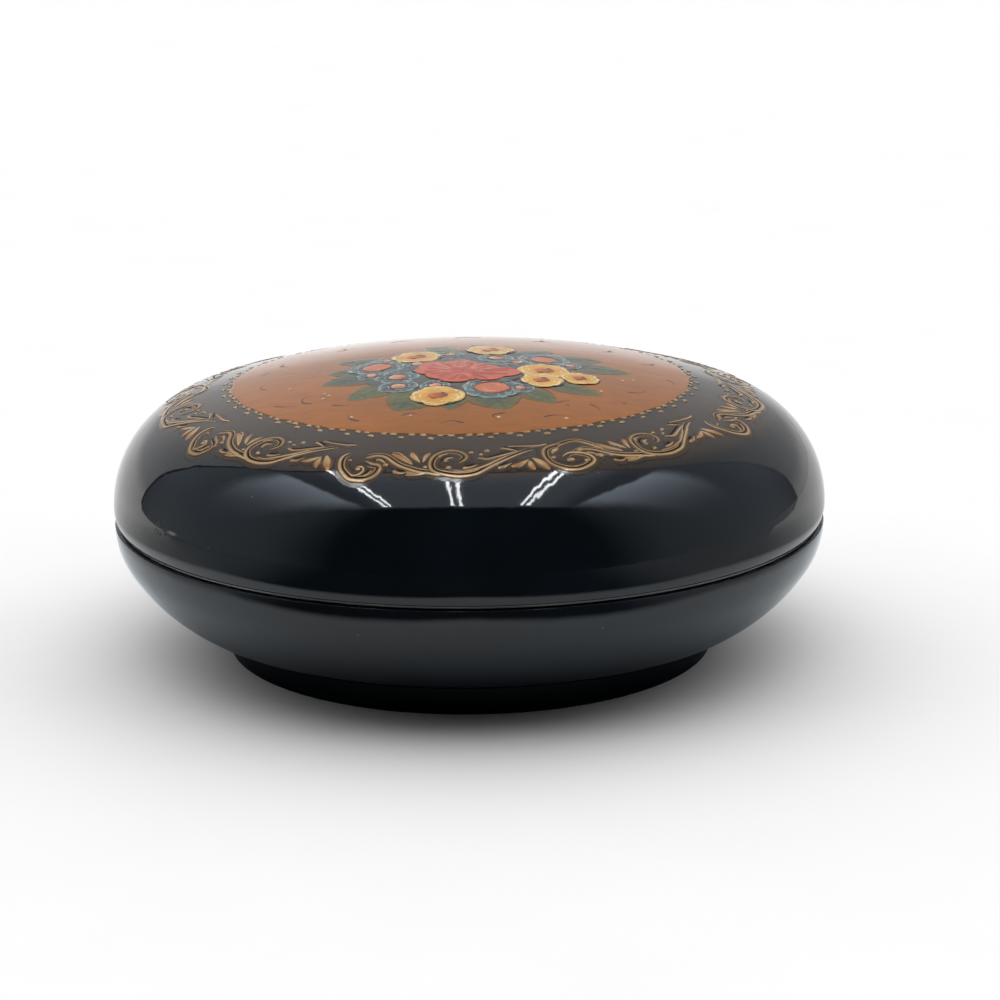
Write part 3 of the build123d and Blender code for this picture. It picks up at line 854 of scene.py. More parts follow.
# Strokes of the border: kind, width share, and points as degrees from the scroll and radius in mm.
FIRST_SCROLL = [
    ("line", 1.0, [(0.6, 43.6), (2.3, 44.2), (3.6, 44.5), (4.2, 45.2), (3.7, 46.3), (2.3, 47.1),
                   (0.6, 47.4), (-1.1, 47.1), (-2.6, 46.3), (-3.6, 45.4), (-4.3, 44.2), (-4.3, 43.0),
                   (-3.4, 42.0)]),
    ("line", 0.75, [(-1.3, 46.3), (-0.3, 46.7), (0.7, 46.3), (1.2, 45.6), (0.6, 45.0), (-0.5, 45.1)]),
    ("dot", 1.1, [(-0.5, 45.5), (0.5, 45.4)]),
    ("dot", 0.9, [(-2.9, 43.8), (-2.0, 43.7)]),
    ("comma", 1.1, [(2.9, 45.6), (2.2, 46.3), (1.4, 46.6)]),
]
SECOND_START = [
    ("line", 1.0, [(-0.6, 40.2), (-2.4, 40.2), (-4.6, 40.9), (-5.5, 42.2), (-5.6, 43.8), (-4.7, 45.3),
                   (-2.6, 46.3), (-0.3, 46.5), (2.1, 45.9), (3.2, 45.0), (2.9, 43.9), (1.5, 43.0),
                   (-0.5, 42.8), (-2.4, 43.6)]),
    ("line", 0.95, [(-3.0, 41.6), (-0.6, 40.3), (2.5, 39.9), (4.4, 40.8), (5.5, 42.0), (6.9, 43.2)]),
    ("dot", 1.5, [(-1.9, 44.5), (-0.3, 44.3)]),
    ("dot", 1.2, [(-4.5, 43.6), (-3.5, 43.4)]),
    ("leaf", 1.5, [(-3.9, 42.4), (-2.9, 41.6), (-1.8, 41.2)]),
    ("leaf", 1.5, [(1.2, 42.5), (2.2, 42.2), (3.3, 42.6)]),
    ("dot", 1.2, [(1.3, 45.1), (2.2, 44.9)]),
    ("comma", 1.2, [(4.0, 44.1), (5.0, 44.1), (6.0, 44.5)]),
]
STEM_OUT = [
    ("line", 1.1, [(0.4, 43.2), (1.4, 42.7), (2.6, 42.3), (4.2, 42.6), (6.0, 43.7), (7.6, 44.6),
                   (9.9, 45.3), (12.0, 45.7), (15.4, 46.1)]),
    ("line", 0.9, [(9.0, 46.2), (10.9, 46.1), (12.7, 45.8), (14.0, 46.0), (15.6, 46.2)]),
    ("dot", 1.2, [(4.4, 44.5), (5.4, 44.3)]),
    ("comma", 1.2, [(2.6, 43.3), (3.6, 43.4), (5.0, 44.2)]),
    ("comma", 1.1, [(6.6, 45.5), (7.9, 45.9), (9.2, 45.8)]),
    ("line", 0.7, [(5.2, 41.3), (6.6, 41.5), (8.2, 42.6), (9.9, 43.9)]),
]
SECOND_SCROLL = [
    ("line", 1.0, [(18.4, 43.7), (19.3, 43.2), (19.9, 42.3), (19.1, 41.1), (17.3, 40.5), (15.6, 40.7),
                   (13.9, 41.7), (13.2, 43.1), (13.2, 44.4), (14.0, 45.4), (15.8, 46.1), (18.6, 46.4),
                   (21.0, 46.2), (22.5, 45.6), (25.0, 44.3), (27.6, 43.1), (30.5, 41.8), (33.4, 40.9)]),
    ("comma", 1.5, [(16.0, 43.6), (16.2, 42.7), (17.5, 42.3)]),
    ("dot", 1.2, [(16.1, 44.8), (17.1, 44.6)]),
    ("line", 0.75, [(17.3, 45.5), (19.4, 45.5), (21.3, 45.1), (23.4, 44.4), (26.0, 43.2), (28.2, 42.1)]),
    ("dot", 1.1, [(20.2, 41.1), (21.3, 41.1)]),
    ("dot", 1.5, [(23.4, 40.9), (24.5, 40.6)]),
    ("comma", 1.2, [(21.8, 42.5), (23.7, 43.0), (26.1, 42.3), (29.0, 41.5), (30.4, 41.2)]),
    ("comma", 1.1, [(26.6, 40.1), (28.2, 40.5), (30.0, 41.2)]),
    ("line", 0.8, [(28.0, 39.7), (31.5, 40.0), (34.6, 40.1), (36.6, 39.8)]),
    ("dot", 0.9, [(11.9, 44.6), (12.8, 44.6)]),
    ("comma", 1.2, [(14.6, 42.4), (15.2, 41.6), (16.4, 41.3)]),
    ("comma", 1.1, [(19.0, 44.9), (20.4, 44.8), (22.0, 44.2)]),
    ("comma", 1.2, [(25.2, 45.2), (26.6, 44.9), (28.0, 44.1)]),
    ("dot", 1.0, [(22.2, 41.8), (23.0, 41.7)]),
]
# Filled leaves of the border, in the same terms.
BORDER_LEAVES = [
    ("leaf", 1.55, [(5.0, 41.5), (7.2, 42.5), (10.2, 44.2)]),
    ("leaf", 1.5, [(9.0, 40.9), (9.8, 42.2), (11.3, 43.6)]),
    ("leaf", 1.5, [(12.9, 41.0), (12.1, 42.2), (11.8, 43.7)]),
    ("leaf", 1.3, [(8.9, 45.5), (10.3, 45.9), (12.0, 45.6)]),
    ("leaf", 1.5, [(27.6, 44.9), (29.4, 44.6), (31.4, 43.5)]),
    ("leaf", 1.8, [(31.7, 45.9), (31.3, 44.9), (31.3, 43.7)]),
    ("leaf", 2.3, [(34.4, 46.1), (33.3, 44.7), (32.0, 43.1)]),
]


def inward(spine):
    """Unit vectors square to a path in plan, on the side that faces the lid's middle."""
    ahead = np.gradient(spine, axis=0)
    ahead /= np.linalg.norm(ahead, axis=1, keepdims=True)
    aside = np.stack([-ahead[:, 1], ahead[:, 0]], axis=1)
    outmost = np.argmax(np.linalg.norm(spine, axis=1))
    return aside * -np.sign(aside[outmost] @ spine[outmost])


def border_strokes(motif, turn, paint, rng, thick):
    """One motif of the border laid out from an angle, with a little of the hand's unevenness.

    A main line gets a thin companion line along its inner side.
    """
    made = []
    for kind, share, points in motif:
        spots = np.array(points)
        count = {"line": 8 + 3 * len(points), "dot": 7}.get(kind, 12)
        wobble = rng.normal(0.0, 0.05, spots.shape) * (0.35, 1.0)
        path = ring_point(spots[:, 0] + turn + wobble[:, 0], spots[:, 1] + wobble[:, 1])
        width = paint.line_width * share * rng.uniform(0.9, 1.1)
        height = paint.relief * thick * rng.uniform(0.85, 1.1)
        made.append(stroke(path, width, height, kind, count, 8, 0.0, rng.uniform(0.1, 0.9)))
        if kind == "line" and share > 0.9:
            spine = smooth_path(path, 4 * len(points))
            beside = spine + inward(spine) * COMPANION_GAP
            made.append(stroke(beside[2:-1], FINE_WIDTH, height * 0.6, kind, count, 6, 0.0, 0.0))
    return made


def glaze_stroke(item):
    """Thin brown glaze under a stroke: the same path, wider and nearly flat."""
    wider = {"width": item["width"] + GLAZE_MARGIN, "height": 0.02 * MM}
    kind = "line" if item["kind"] == "comma" else item["kind"]
    return {**item, **wider, "kind": kind, "around": 6, "steps": max(6, item["steps"] // 2)}


def painted_shadow_stroke(item):
    """Painted shadow: a dark, dull line just inside a stroke's inner side."""
    spine = smooth_path(item["path"], item["steps"])
    path = spine + inward(spine) * (item["width"] * 0.5 + SHADOW_LINE_GAP)
    return stroke(path[1:-1], FINE_WIDTH, 0.035 * MM, "line", item["steps"], 6)


def bead_strokes(paint, rng):
    """Gold beads in threes: two on the inner row, one between them on the outer row."""
    made = []
    for group in range(paint.bead_groups):
        for row, share in ((paint.bead_inner, -0.3), (paint.bead_inner, 0.3), (paint.bead_outer, 0.0)):
            turn = 2 * np.pi * (group + share + rng.normal(0, 0.03)) / paint.bead_groups - np.pi / 2
            out = np.array([np.cos(turn), np.sin(turn)])
            aside = np.array([-out[1], out[0]])
            middle = out * (row + rng.normal(0, 0.05 * MM)) + (paint.medallion_shift, paint.medallion_drop)
            reach = paint.bead_radius * rng.uniform(0.88, 1.15)
            lean = (aside + out * rng.normal(0, 0.15)) * reach
            path = [middle - lean, middle, middle + lean]
            height = 0.13 * MM * rng.uniform(0.8, 1.0)
            made.append(stroke(path, 1.8 * reach, height, "dot", 8, 8, 0.0, rng.uniform(0, 1)))
    return made


def medallion(sizes, paint):
    """Ochre disc on the dome: rings out to an uneven edge, over it, and back below the surface.

    A ring's radius is its share of the medallion's, and the edge adds three sine waves to it.
    """
    turns = 240
    turn = np.linspace(0.0, 2.0 * np.pi, turns, endpoint=False)
    rounding = [0.993, 0.998, 1.0, 0.99]
    share = np.concatenate([np.linspace(0.02, 0.985, 40), rounding, np.linspace(0.9, 0.1, 8)])
    lift = np.concatenate([np.full(41, paint.ground), [paint.ground * 0.75, 0.0], np.full(9, -SINK)])
    waves = 0.0028 * np.sin(23 * turn + 1.3) + 0.0022 * np.sin(41 * turn) + 0.0016 * np.sin(67 * turn)
    radius = paint.medallion_radius * (1.0 + waves * (share[:, None] > 0.98)) * share[:, None]
    middle = np.array([paint.medallion_shift, paint.medallion_drop])
    x = middle[0] + radius * np.cos(turn)
    y = middle[1] + radius * np.sin(turn)
    rings = on_dome(sizes, x, y, lift[:, None])
    top = on_dome(sizes, middle[:1], middle[1:], paint.ground)
    under = on_dome(sizes, middle[:1], middle[1:], -SINK)
    count = len(share) * turns
    faces = [
        grid_faces(len(share), turns)[:, ::-1],
        fan_faces(np.arange(turns), count, True),
        fan_faces(np.arange(count - turns, count), count + 1, False),
    ]
    return np.concatenate([rings.reshape(-1, 3), top, under]), faces


class Brush:
    """Lays strokes on the medallion, with all sizes in millimetres, and keeps them by their coat."""

    def __init__(self, paint, seed):
        self.ground = paint.ground
        self.random = np.random.default_rng(seed)
        self.coats = {}

    def lay(self, coat, path, width, height, kind, steps, around, lift, tone=0.5, dish=0.0):
        """One stroke, lifted above the ochre ground."""
        spine = np.array(path) * MM
        lift = self.ground + lift * MM
        made = stroke(spine, width * MM, height * MM, kind, steps, around, lift, tone, dish)
        self.coats.setdefault(coat, []).append(made)

    def petals(self, coat, centre, radius, count, width, lift, start):
        """Petals round a centre, each from near the centre out to about the radius."""
        for index in range(count):
            turn = np.radians(start + 360.0 * index / count + self.random.normal(0, 4.0))
            out = np.array([np.cos(turn), np.sin(turn)])
            aside = np.array([-out[1], out[0]])
            reach = radius * self.random.uniform(0.92, 1.08)
            bend = aside * self.random.normal(0, 0.05) * radius
            runs = [out * radius * 0.12, out * reach * 0.55 + bend, out * reach]
            path = np.array(centre) + runs
            shingled = lift + 0.008 * (index % 3)
            tone = self.random.uniform(0.15, 0.85)
            self.lay(coat, path, width, 0.045, "petal", 14, 14, shingled, tone, 0.4)

    def wisps(self, coat, centre, radius, count, width, lift, span, start=0.0):
        """Thin curved strokes that ride on the rim of a bloom, each spanning part of the round."""
        for index in range(count):
            middle = start + 360.0 * index / count + self.random.normal(0, 7.0)
            half = span / 2 * self.random.uniform(0.7, 1.2)
            turn = np.radians(np.linspace(middle - half, middle + half, 5))
            swell = radius * self.random.uniform(0.9, 1.06) * (1.0 - 0.10 * np.linspace(-1, 1, 5) ** 2)
            path = np.array(centre) + np.stack([np.cos(turn), np.sin(turn)], axis=1) * swell[:, None]
            if self.random.uniform() < 0.5:
                path = path[::-1]
            breadth = width * self.random.uniform(0.7, 1.2)
            self.lay(coat, path, breadth, 0.022, "comma", 12, 6, lift, self.random.uniform(0.1, 0.9))

    def shade(self, centre, radius, lift):
        """Dark underpaint of a bloom, a little behind the bloom's middle."""
        middle = np.array(centre) + (0.1, 0.3)
        path = [middle - (radius, 0.0), middle, middle + (radius, 0.0)]
        around = 40 if radius > 6.0 else 14
        self.lay("shade", path, 2.0 * radius, 0.012, "dot", 26, around, lift)

    def spot(self, coat, place, radius, lift, height=0.03):
        """A round dab of paint."""
        turn = self.random.uniform(0, np.pi)
        out = np.array([np.cos(turn), np.sin(turn)]) * radius * self.random.uniform(0.85, 1.1)
        width = 2.0 * radius * self.random.uniform(0.8, 1.0)
        tone = self.random.uniform(0.2, 0.8)
        self.lay(coat, [place - out, place, place + out], width, height, "dot", 9, 10, lift, tone)


# The bouquet: places, radii, widths and paths in millimetres, +X to the right and +Y to the back.
YELLOW_BLOOMS = [
    ((-8.0, -0.3), 3.9), ((3.4, 4.2), 3.8), ((11.4, -9.2), 3.9), ((10.8, -14.4), 3.3),
    ((16.6, -12.0), 2.9), ((-4.5, -22.0), 3.9),
]
PALE_BLOOMS = [((-13.9, -5.7), 4.5), ((3.4, -18.7), 4.7), ((11.5, -2.2), 4.3)]
BLUE_BLOOMS = [
    ((-10.7, -12.2), 3.4), ((-10.4, -16.9), 3.0), ((-5.0, -17.3), 2.4), ((4.2, -2.0), 2.9),
    ((-2.9, 0.7), 2.3), ((7.6, -18.4), 2.2), ((7.4, -4.6), 2.2), ((-12.6, -1.4), 1.9),
    ((15.4, -4.9), 1.9), ((-7.8, -5.0), 2.2), ((-14.6, -10.2), 2.2),
]
BED_SHADES = [((-4.0, -9.0), 11.0), ((5.5, -9.0), 10.0), ((-8.5, -11.5), 7.4), ((1.5, -2.0), 7.0)]
RED_PETALS = [                          # tip of each petal and its width
    ((-6.6, -4.7), 5.6), ((-1.6, -3.7), 5.6), ((-8.3, -9.4), 5.2), ((-5.9, -13.7), 5.2),
    ((4.2, -7.4), 4.6), ((-1.2, -16.2), 5.8), ((8.0, -10.6), 5.2), ((4.9, -14.4), 5.4),
]
RED_HEART = (-0.8, -10.2)
LEAVES = [                              # root, tip and width of each leaf
    ((-10.6, -9.6), (-22.2, -12.4), 7.6), ((-12.4, -6.4), (-21.6, -6.0), 6.0),
    ((-11.0, -2.6), (-20.6, 1.6), 5.6), ((-3.4, 1.0), (-5.4, 9.4), 5.6), ((1.6, 2.0), (1.8, 10.8), 5.0),
    ((6.6, 1.0), (12.6, 6.8), 5.2), ((12.0, -1.6), (21.4, 1.6), 6.0), ((13.4, -4.6), (25.2, -5.4), 6.6),
    ((10.8, -14.8), (19.8, -19.2), 5.2), ((6.6, -17.6), (12.6, -24.4), 5.4),
    ((2.6, -18.4), (5.6, -27.6), 8.6), ((-6.0, -17.6), (-10.6, -27.4), 9.2),
    ((-10.4, -14.6), (-17.8, -21.4), 6.2), ((-1.8, -18.6), (-2.8, -27.8), 5.4),
]
CURLS = [                               # fine ink curls on the ground
    [(-22.8, -20.6), (-24.4, -19.2), (-24.4, -17.2), (-23.0, -16.6)],
    [(-15.6, -29.7), (-17.2, -28.2), (-17.3, -26.4)], [(-9.9, -28.9), (-8.3, -28.2), (-6.5, -29.7)],
    [(5.4, -28.6), (3.4, -29.6), (4.3, -31.6)], [(10.6, -29.6), (12.2, -28.7), (13.9, -28.7)],
    [(17.5, -23.2), (18.6, -24.2), (19.2, -26.0)], [(12.4, -24.0), (13.8, -23.0), (15.2, -22.1)],
    [(-28.8, -18.6), (-27.0, -19.8), (-25.0, -20.6)], [(-20.1, -22.0), (-18.6, -22.8), (-17.2, -22.8)],
    [(30.0, -5.2), (31.2, -6.8), (30.8, -8.6)], [(23.4, -16.0), (25.4, -15.4), (26.6, -13.4)],
    [(-30.4, -9.4), (-31.6, -7.4), (-30.6, -5.4)], [(-28.0, 4.6), (-29.6, 6.6), (-28.6, 8.8)],
    [(-21.0, 13.0), (-19.4, 15.0), (-20.6, 17.2)], [(-12.8, 19.0), (-10.4, 20.4), (-8.6, 19.2)],
    [(-2.4, 22.4), (0.0, 23.8), (2.4, 22.6)], [(10.0, 17.0), (12.4, 18.2), (13.6, 16.4)],
    [(21.0, 11.0), (23.0, 12.6), (22.4, 14.8)], [(26.6, 3.4), (28.8, 4.6), (29.0, 7.0)],
    [(-0.6, -32.4), (-2.6, -31.4), (-4.6, -32.6)], [(-32.2, 1.2), (-31.0, 2.4), (-31.6, 4.0)],
]
GROUND_DOTS = [
    (-21.5, -16.8), (-20.7, -17.9), (-21.4, -19.0), (-8.3, -29.2), (4.3, -30.3), (-26.7, -11.5),
    (23.1, -10.2), (24.7, -9.2), (-17.0, -27.9), (19.6, -17.2), (-19.6, 14.6), (22.4, 13.2),
    (11.8, 19.2), (28.6, 5.4), (-29.2, 6.8), (14.0, -29.6),
]
# Pieces of the blooms: name, coat, slot, the node it stands for, colours of root, tip and edge, bristles.
BLOOM_PIECES = (
    ("bloom_shade", "shade", "blue_enamel", None, ("shade", "shade", "ink"), 6.0),
    ("blue_blooms", "blue", "blue_enamel", "blue_petals", ("blue", "teal", "pale_blue"), 8.0),
    ("pale_wisps", "wisps", "blue_enamel", None, ("pale_blue", "white", "pale_blue"), 4.0),
    ("bud_hearts", "buds", "peach_enamel", None, ("peach", "bud", "bud"), 5.0),
    ("peach_hearts", "hearts", "peach_enamel", "peach_blooms", ("peach", "salmon", "peach"), 7.0),
    ("yellow_petals", "yellow", "yellow_enamel", "yellow_blooms", ("amber", "yellow", "yellow"), 8.0),
    ("cream_rims", "rims", "yellow_enamel", None, ("cream", "cream", "yellow"), 4.0),
    ("yellow_glow", "glow", "peach_enamel", None, ("ember", "glow", "glow"), 6.0),
    ("red_petals", "red", "red_enamel", "red_bloom", ("red", "salmon", "red"), 9.0),
    ("pink_strokes", "pink", "red_enamel", None, ("red", "rose", "pink"), 4.0),
    ("deep_strokes", "deep", "red_enamel", None, ("crimson", "ember", "crimson"), 4.0),
)


def paint_leaf(brush, root, tip, width):
    """A leaf blade with a dished middle, its midrib, and three pairs of side veins."""
    root, tip = np.array(root), np.array(tip)
    run = tip - root
    aside = np.array([-run[1], run[0]]) / np.linalg.norm(run)
    bend = aside * brush.random.normal(0, 0.5)
    middle = (root + tip) / 2 + bend
    tone = brush.random.uniform(0.1, 0.9)
    brush.lay("blades", [root, middle, tip], width, 0.04, "leaf", 20, 16, 0.0, tone, 0.3)
    brush.lay("veins", [root, middle, root + run * 0.92], 0.24, 0.02, "comma", 14, 6, 0.03)
    for share in (0.3, 0.48, 0.66):
        foot = root + run * share + bend * 0.8
        for hand in (-1, 1):
            end = foot + run * 0.16 + aside * hand * width * 0.32
            path = [foot, (foot + end) / 2 + run * 0.01, end]
            tone = brush.random.uniform(0.3, 0.7)
            brush.lay("veins", path, 0.15, 0.02, "comma", 8, 6, 0.028, tone)


def paint_blue_bloom(brush, place, radius):
    """Small bloom: six petals, two rings of pale wisps, a red ring and a bud."""
    brush.shade(place, radius * 1.05, 0.030)
    brush.petals("blue", place, radius, 6, radius * 0.95, 0.036, brush.random.uniform(0, 60))
    brush.wisps("wisps", place, radius * 0.92, 6, 0.26, 0.085, 34.0)
    brush.wisps("wisps", place, radius * 0.55, 4, 0.20, 0.085, 50.0)
    brush.wisps("deep", place, radius * 0.50, 3, 0.32, 0.086, 100.0, 90.0)
    brush.spot("buds", place, radius * 0.40, 0.092)


def paint_pale_bloom(brush, place, radius):
    """Large blue bloom: eight petals, two rings of pale wisps and a salmon heart."""
    brush.shade(place, radius * 1.04, 0.032)
    brush.petals("blue", place, radius, 8, radius * 0.78, 0.044, brush.random.uniform(0, 40))
    brush.wisps("wisps", place, radius * 0.93, 9, 0.34, 0.098, 30.0)
    brush.wisps("wisps", place, radius * 0.70, 7, 0.24, 0.098, 34.0)
    brush.wisps("deep", place, radius * 0.60, 4, 0.36, 0.096, 80.0, 90.0)
    brush.spot("hearts", place, radius * 0.54, 0.100)
    brush.wisps("buds", place, radius * 0.34, 2, 0.50, 0.126, 100.0, 70.0)


def paint_yellow_bloom(brush, place, radius):
    """Yellow bloom: six petals with cream rims round an orange glow."""
    brush.shade(place, radius * 1.06, 0.090)
    brush.petals("yellow", place, radius, 6, radius * 0.98, 0.098, brush.random.uniform(0, 60))
    brush.wisps("rims", place, radius * 0.92, 9, 0.66, 0.146, 46.0)
    brush.wisps("rims", place, radius * 0.66, 4, 0.30, 0.146, 40.0)
    lean = np.array([1.0, brush.random.normal(0, 0.2)]) * radius * 0.4032
    path = [place + lean, place, place - lean]
    brush.lay("glow", path, radius * 0.56, 0.03, "dot", 14, 14, 0.146)
    brush.wisps("deep", place, radius * 0.36, 2, 0.34, 0.170, 60.0, 60.0)


def paint_red_bloom(brush):
    """Red bloom: petals that overlap from one heart, each with three light or deep strokes."""
    heart = np.array(RED_HEART)
    brush.shade(heart + (-3.0, 2.4), 5.2, 0.088)
    brush.shade(heart + (3.2, -1.4), 5.6, 0.088)
    for order, (tip, width) in enumerate(RED_PETALS):
        tip = np.array(tip)
        run = tip - heart
        aside = np.array([-run[1], run[0]]) / np.linalg.norm(run)
        bend = aside * brush.random.normal(0, 0.4)
        lift = 0.094 + 0.010 * order
        far = tip[1] > -9.0
        spine = [heart, (heart + tip) / 2 + bend, tip]
        brush.lay("red", spine, width, 0.05, "petal", 18, 18, lift, 0.85 if far else 0.3, 0.3)
        for hand in (-0.3, 0.05, 0.3):
            reach = tip - run * brush.random.uniform(0.10, 0.24)
            belly = (heart + reach) / 2 + aside * hand * width * 0.6
            path = [reach + aside * hand * width, belly, heart + (reach - heart) * 0.3]
            light = far or brush.random.uniform() < 0.55
            coat, size = ("pink", 1.3) if light else ("deep", 0.36)
            tone = brush.random.uniform(0.1, 0.9)
            brush.lay(coat, path, size, 0.02, "comma", 14, 6, lift + 0.036, tone)


# Operators


def turned(context, name, section, finish, body, stands_for):
    """Makes a turned piece from its section."""
    points, faces = lathe(section, context.scene.trinket_sizes.turns)
    return piece(name, points, faces, finish, body, [stands_for])


class TRINKET_OT_lid(bpy.types.Operator):
    """Turns the lacquered lid"""

    bl_idname = "trinket.lid"
    bl_label = "Lid"

    def execute(self, context):
        sizes, colours = context.scene.trinket_sizes, context.scene.trinket_colours
        # the lid's lacquer carries a pale rim line, partly rubbed lacquer and partly a painted highlight
        rim = sizes.rim_height + RUB_HIGHLIGHT_BAND
        finish = lacquer_material("black_lacquer", colours.lacquer, 0.035, 0.05, rim=rim)
        turned(context, "lid_lacquer", lid_section(sizes), finish, "lid", "lid_shell")
        return {"FINISHED"}


class TRINKET_OT_bowl(bpy.types.Operator):
    """Turns the lacquered bowl"""

    bl_idname = "trinket.bowl"
    bl_label = "Bowl"

    def execute(self, context):
        sizes, colours = context.scene.trinket_sizes, context.scene.trinket_colours
        finish = lacquer_material("bowl_lacquer", colours.lacquer, 0.05, 0.08, 1.2)
        turned(context, "bowl_lacquer", bowl_section(sizes), finish, "base", "bowl_shell")
        return {"FINISHED"}


class TRINKET_OT_collar(bpy.types.Operator):
    """Turns the collar that keeps the lid in place"""

    bl_idname = "trinket.collar"
    bl_label = "Collar"

    def execute(self, context):
        sizes, colours = context.scene.trinket_sizes, context.scene.trinket_colours
        finish = lacquer_material("collar_lacquer", colours.inside, 0.22, 0.15, 1.4, 0.6)
        section = collar_section(sizes)
        turned(context, "collar_strip", section, finish, "base", "bowl_collar")
        return {"FINISHED"}


class TRINKET_OT_foot(bpy.types.Operator):
    """Turns the foot ring"""

    bl_idname = "trinket.foot"
    bl_label = "Foot ring"

    def execute(self, context):
        sizes, colours = context.scene.trinket_sizes, context.scene.trinket_colours
        finish = lacquer_material("foot_lacquer", colours.lacquer, 0.14, 0.12, 1.2, 0.5, 0.6, shine=0.10)
        turned(context, "foot_lacquer", foot_section(sizes), finish, "base", "foot_ring")
        return {"FINISHED"}


class TRINKET_OT_ground(bpy.types.Operator):
    """Lays the ochre ground of the medallion, with its ink curls and gold dots"""

    bl_idname = "trinket.ground"
    bl_label = "Medallion ground"

    def execute(self, context):
        sizes, paint = context.scene.trinket_sizes, context.scene.trinket_paint
        colours = context.scene.trinket_colours
        points, faces = medallion(sizes, paint)
        piece("medallion_paint", points, faces, ochre_material(), "lid", ["medallion_ground"])
        brush = Brush(paint, 4)
        for path in CURLS:
            width = 0.36 * brush.random.uniform(0.8, 1.2)
            brush.lay("curls", path, width, 0.03, "comma", 16, 6, 0.0, brush.random.uniform(0.2, 0.8))
        for place in GROUND_DOTS:
            brush.spot("dots", place, 0.38, 0.0, 0.08)
        ink = paint_material("ink_strokes", colours.ink, colours.ochre_dark, colours.ink, 5.0)
        painted("ink_curls", brush.coats["curls"], ink)
        gold = paint_material("gold_dots", colours.gold, colours.cream, colours.gold_dark_and_shade, 5.0)
        painted("ground_dots", brush.coats["dots"], gold)
        return {"FINISHED"}


class TRINKET_OT_beads(bpy.types.Operator):
    """Sets the gold beads round the medallion"""

    bl_idname = "trinket.beads"
    bl_label = "Gold beads"

    def execute(self, context):
        colours = context.scene.trinket_colours
        # the beads' dark rims are partly outline, partly painted shade
        tones = (colours.gold, colours.gold_light, colours.gold_dark_and_shade)
        gold = paint_material("bead_gold", *tones, 5.0, 0.2, edge_share=0.8, relief=0.5, core=0.45)
        strokes = bead_strokes(context.scene.trinket_paint, np.random.default_rng(11))
        painted("gold_beads", strokes, gold, ["bead_border"])
        return {"FINISHED"}


class TRINKET_OT_border(bpy.types.Operator):
    """Paints the gold scrolls and their filled leaves round the shoulder"""

    bl_idname = "trinket.border"
    bl_label = "Scroll border"

    def execute(self, context):
        paint, colours = context.scene.trinket_paint, context.scene.trinket_colours
        rng = np.random.default_rng(21)
        lines, leaves = [], []
        for pair in range(paint.scroll_pairs):
            turn = BORDER_START + 360.0 * pair / paint.scroll_pairs
            start = SECOND_START if pair % 2 else FIRST_SCROLL
            for motif in (start, STEM_OUT, SECOND_SCROLL):
                lines += border_strokes(motif, turn, paint, rng, 1.0)
            leaves += border_strokes(BORDER_LEAVES, turn, paint, rng, 0.85)
        washes = [glaze_stroke(item) for item in lines + leaves]
        wide = [item for item in lines if item["width"] > 0.6 * MM and item["kind"] in ("line", "comma")]
        # painted shadow: dark, dull lines along the inner side of the wide strokes
        shadow_lines = [painted_shadow_stroke(item) for item in wide]
        # dark edges round a light core: partly outline, partly painted shade of the raised lines
        tones = (colours.gold_light, colours.gold_dark_and_shade, 4.0)
        raised = {"edge_share": 0.9, "relief": 0.45}
        gold = paint_material("scroll_gold", colours.gold, *tones, 0.2, core=0.35, **raised)
        bronze = paint_material("leaf_bronze", colours.bronze, *tones, 0.1, core=0.45, **raised)
        shadow = lacquer_material("painted_shadow_ink", colours.lacquer, 0.5, 0.0, 0.3, 0.0, shine=0.06)
        painted("painted_shadow_lines", shadow_lines, shadow)
        brown = (colours.glaze, colours.gold_dark_and_shade, colours.lacquer)
        painted("scroll_glaze", washes, paint_material("gold_glaze", *brown, 3.0, relief=0.0))
        painted("gold_scrolls", lines, gold, ["scroll_border"])
        painted("bronze_leaves", leaves, bronze, ["border_leaves"])
        return {"FINISHED"}


class TRINKET_OT_leaves(bpy.types.Operator):
    """Paints the bouquet's leaves with their veins"""

    bl_idname = "trinket.leaves"
    bl_label = "Bouquet leaves"

    def execute(self, context):
        colours = context.scene.trinket_colours
        brush = Brush(context.scene.trinket_paint, 31)
        for root, tip, width in LEAVES:
            paint_leaf(brush, root, tip, width)
        tones = (colours.green_blue, colours.green, colours.leaf_edge)
        green = paint_material(
            "leaf_green", *tones, 7.0, edge_share=0.75, tone_mix=0.9, core=0.62, mottle=0.45
        )
        ink = paint_material("vein_ink", colours.vein, colours.green_blue, colours.vein, 4.0)
        painted("bouquet_blades", brush.coats["blades"], green, ["bouquet_leaves"])
        painted("leaf_veins", brush.coats["veins"], ink)
        return {"FINISHED"}


class TRINKET_OT_blooms(bpy.types.Operator):
    """Paints the blooms of the bouquet, colour by colour"""

    bl_idname = "trinket.blooms"
    bl_label = "Blooms"

    def execute(self, context):
        brush = Brush(context.scene.trinket_paint, 41)
        for place, radius in BED_SHADES:
            brush.shade(place, radius, 0.026)
        for place, radius in BLUE_BLOOMS:
            paint_blue_bloom(brush, place, radius)
        for place, radius in PALE_BLOOMS:
            paint_pale_bloom(brush, place, radius)
        for place, radius in YELLOW_BLOOMS:
            paint_yellow_bloom(brush, place, radius)
        paint_red_bloom(brush)
        for name, coat, slot_name, stands_for, tones, bristles in BLOOM_PIECES:
            tones = [getattr(context.scene.trinket_colours, tone) for tone in tones]
            mottle = 0.7 if slot_name == "blue_enamel" else 0.25
            finish = paint_material(name, *tones, bristles, edge_share=0.45, at_tip=0.95, mottle=mottle)
            painted(name, brush.coats[coat], finish, [stands_for] if stands_for else [])
        return {"FINISHED"}


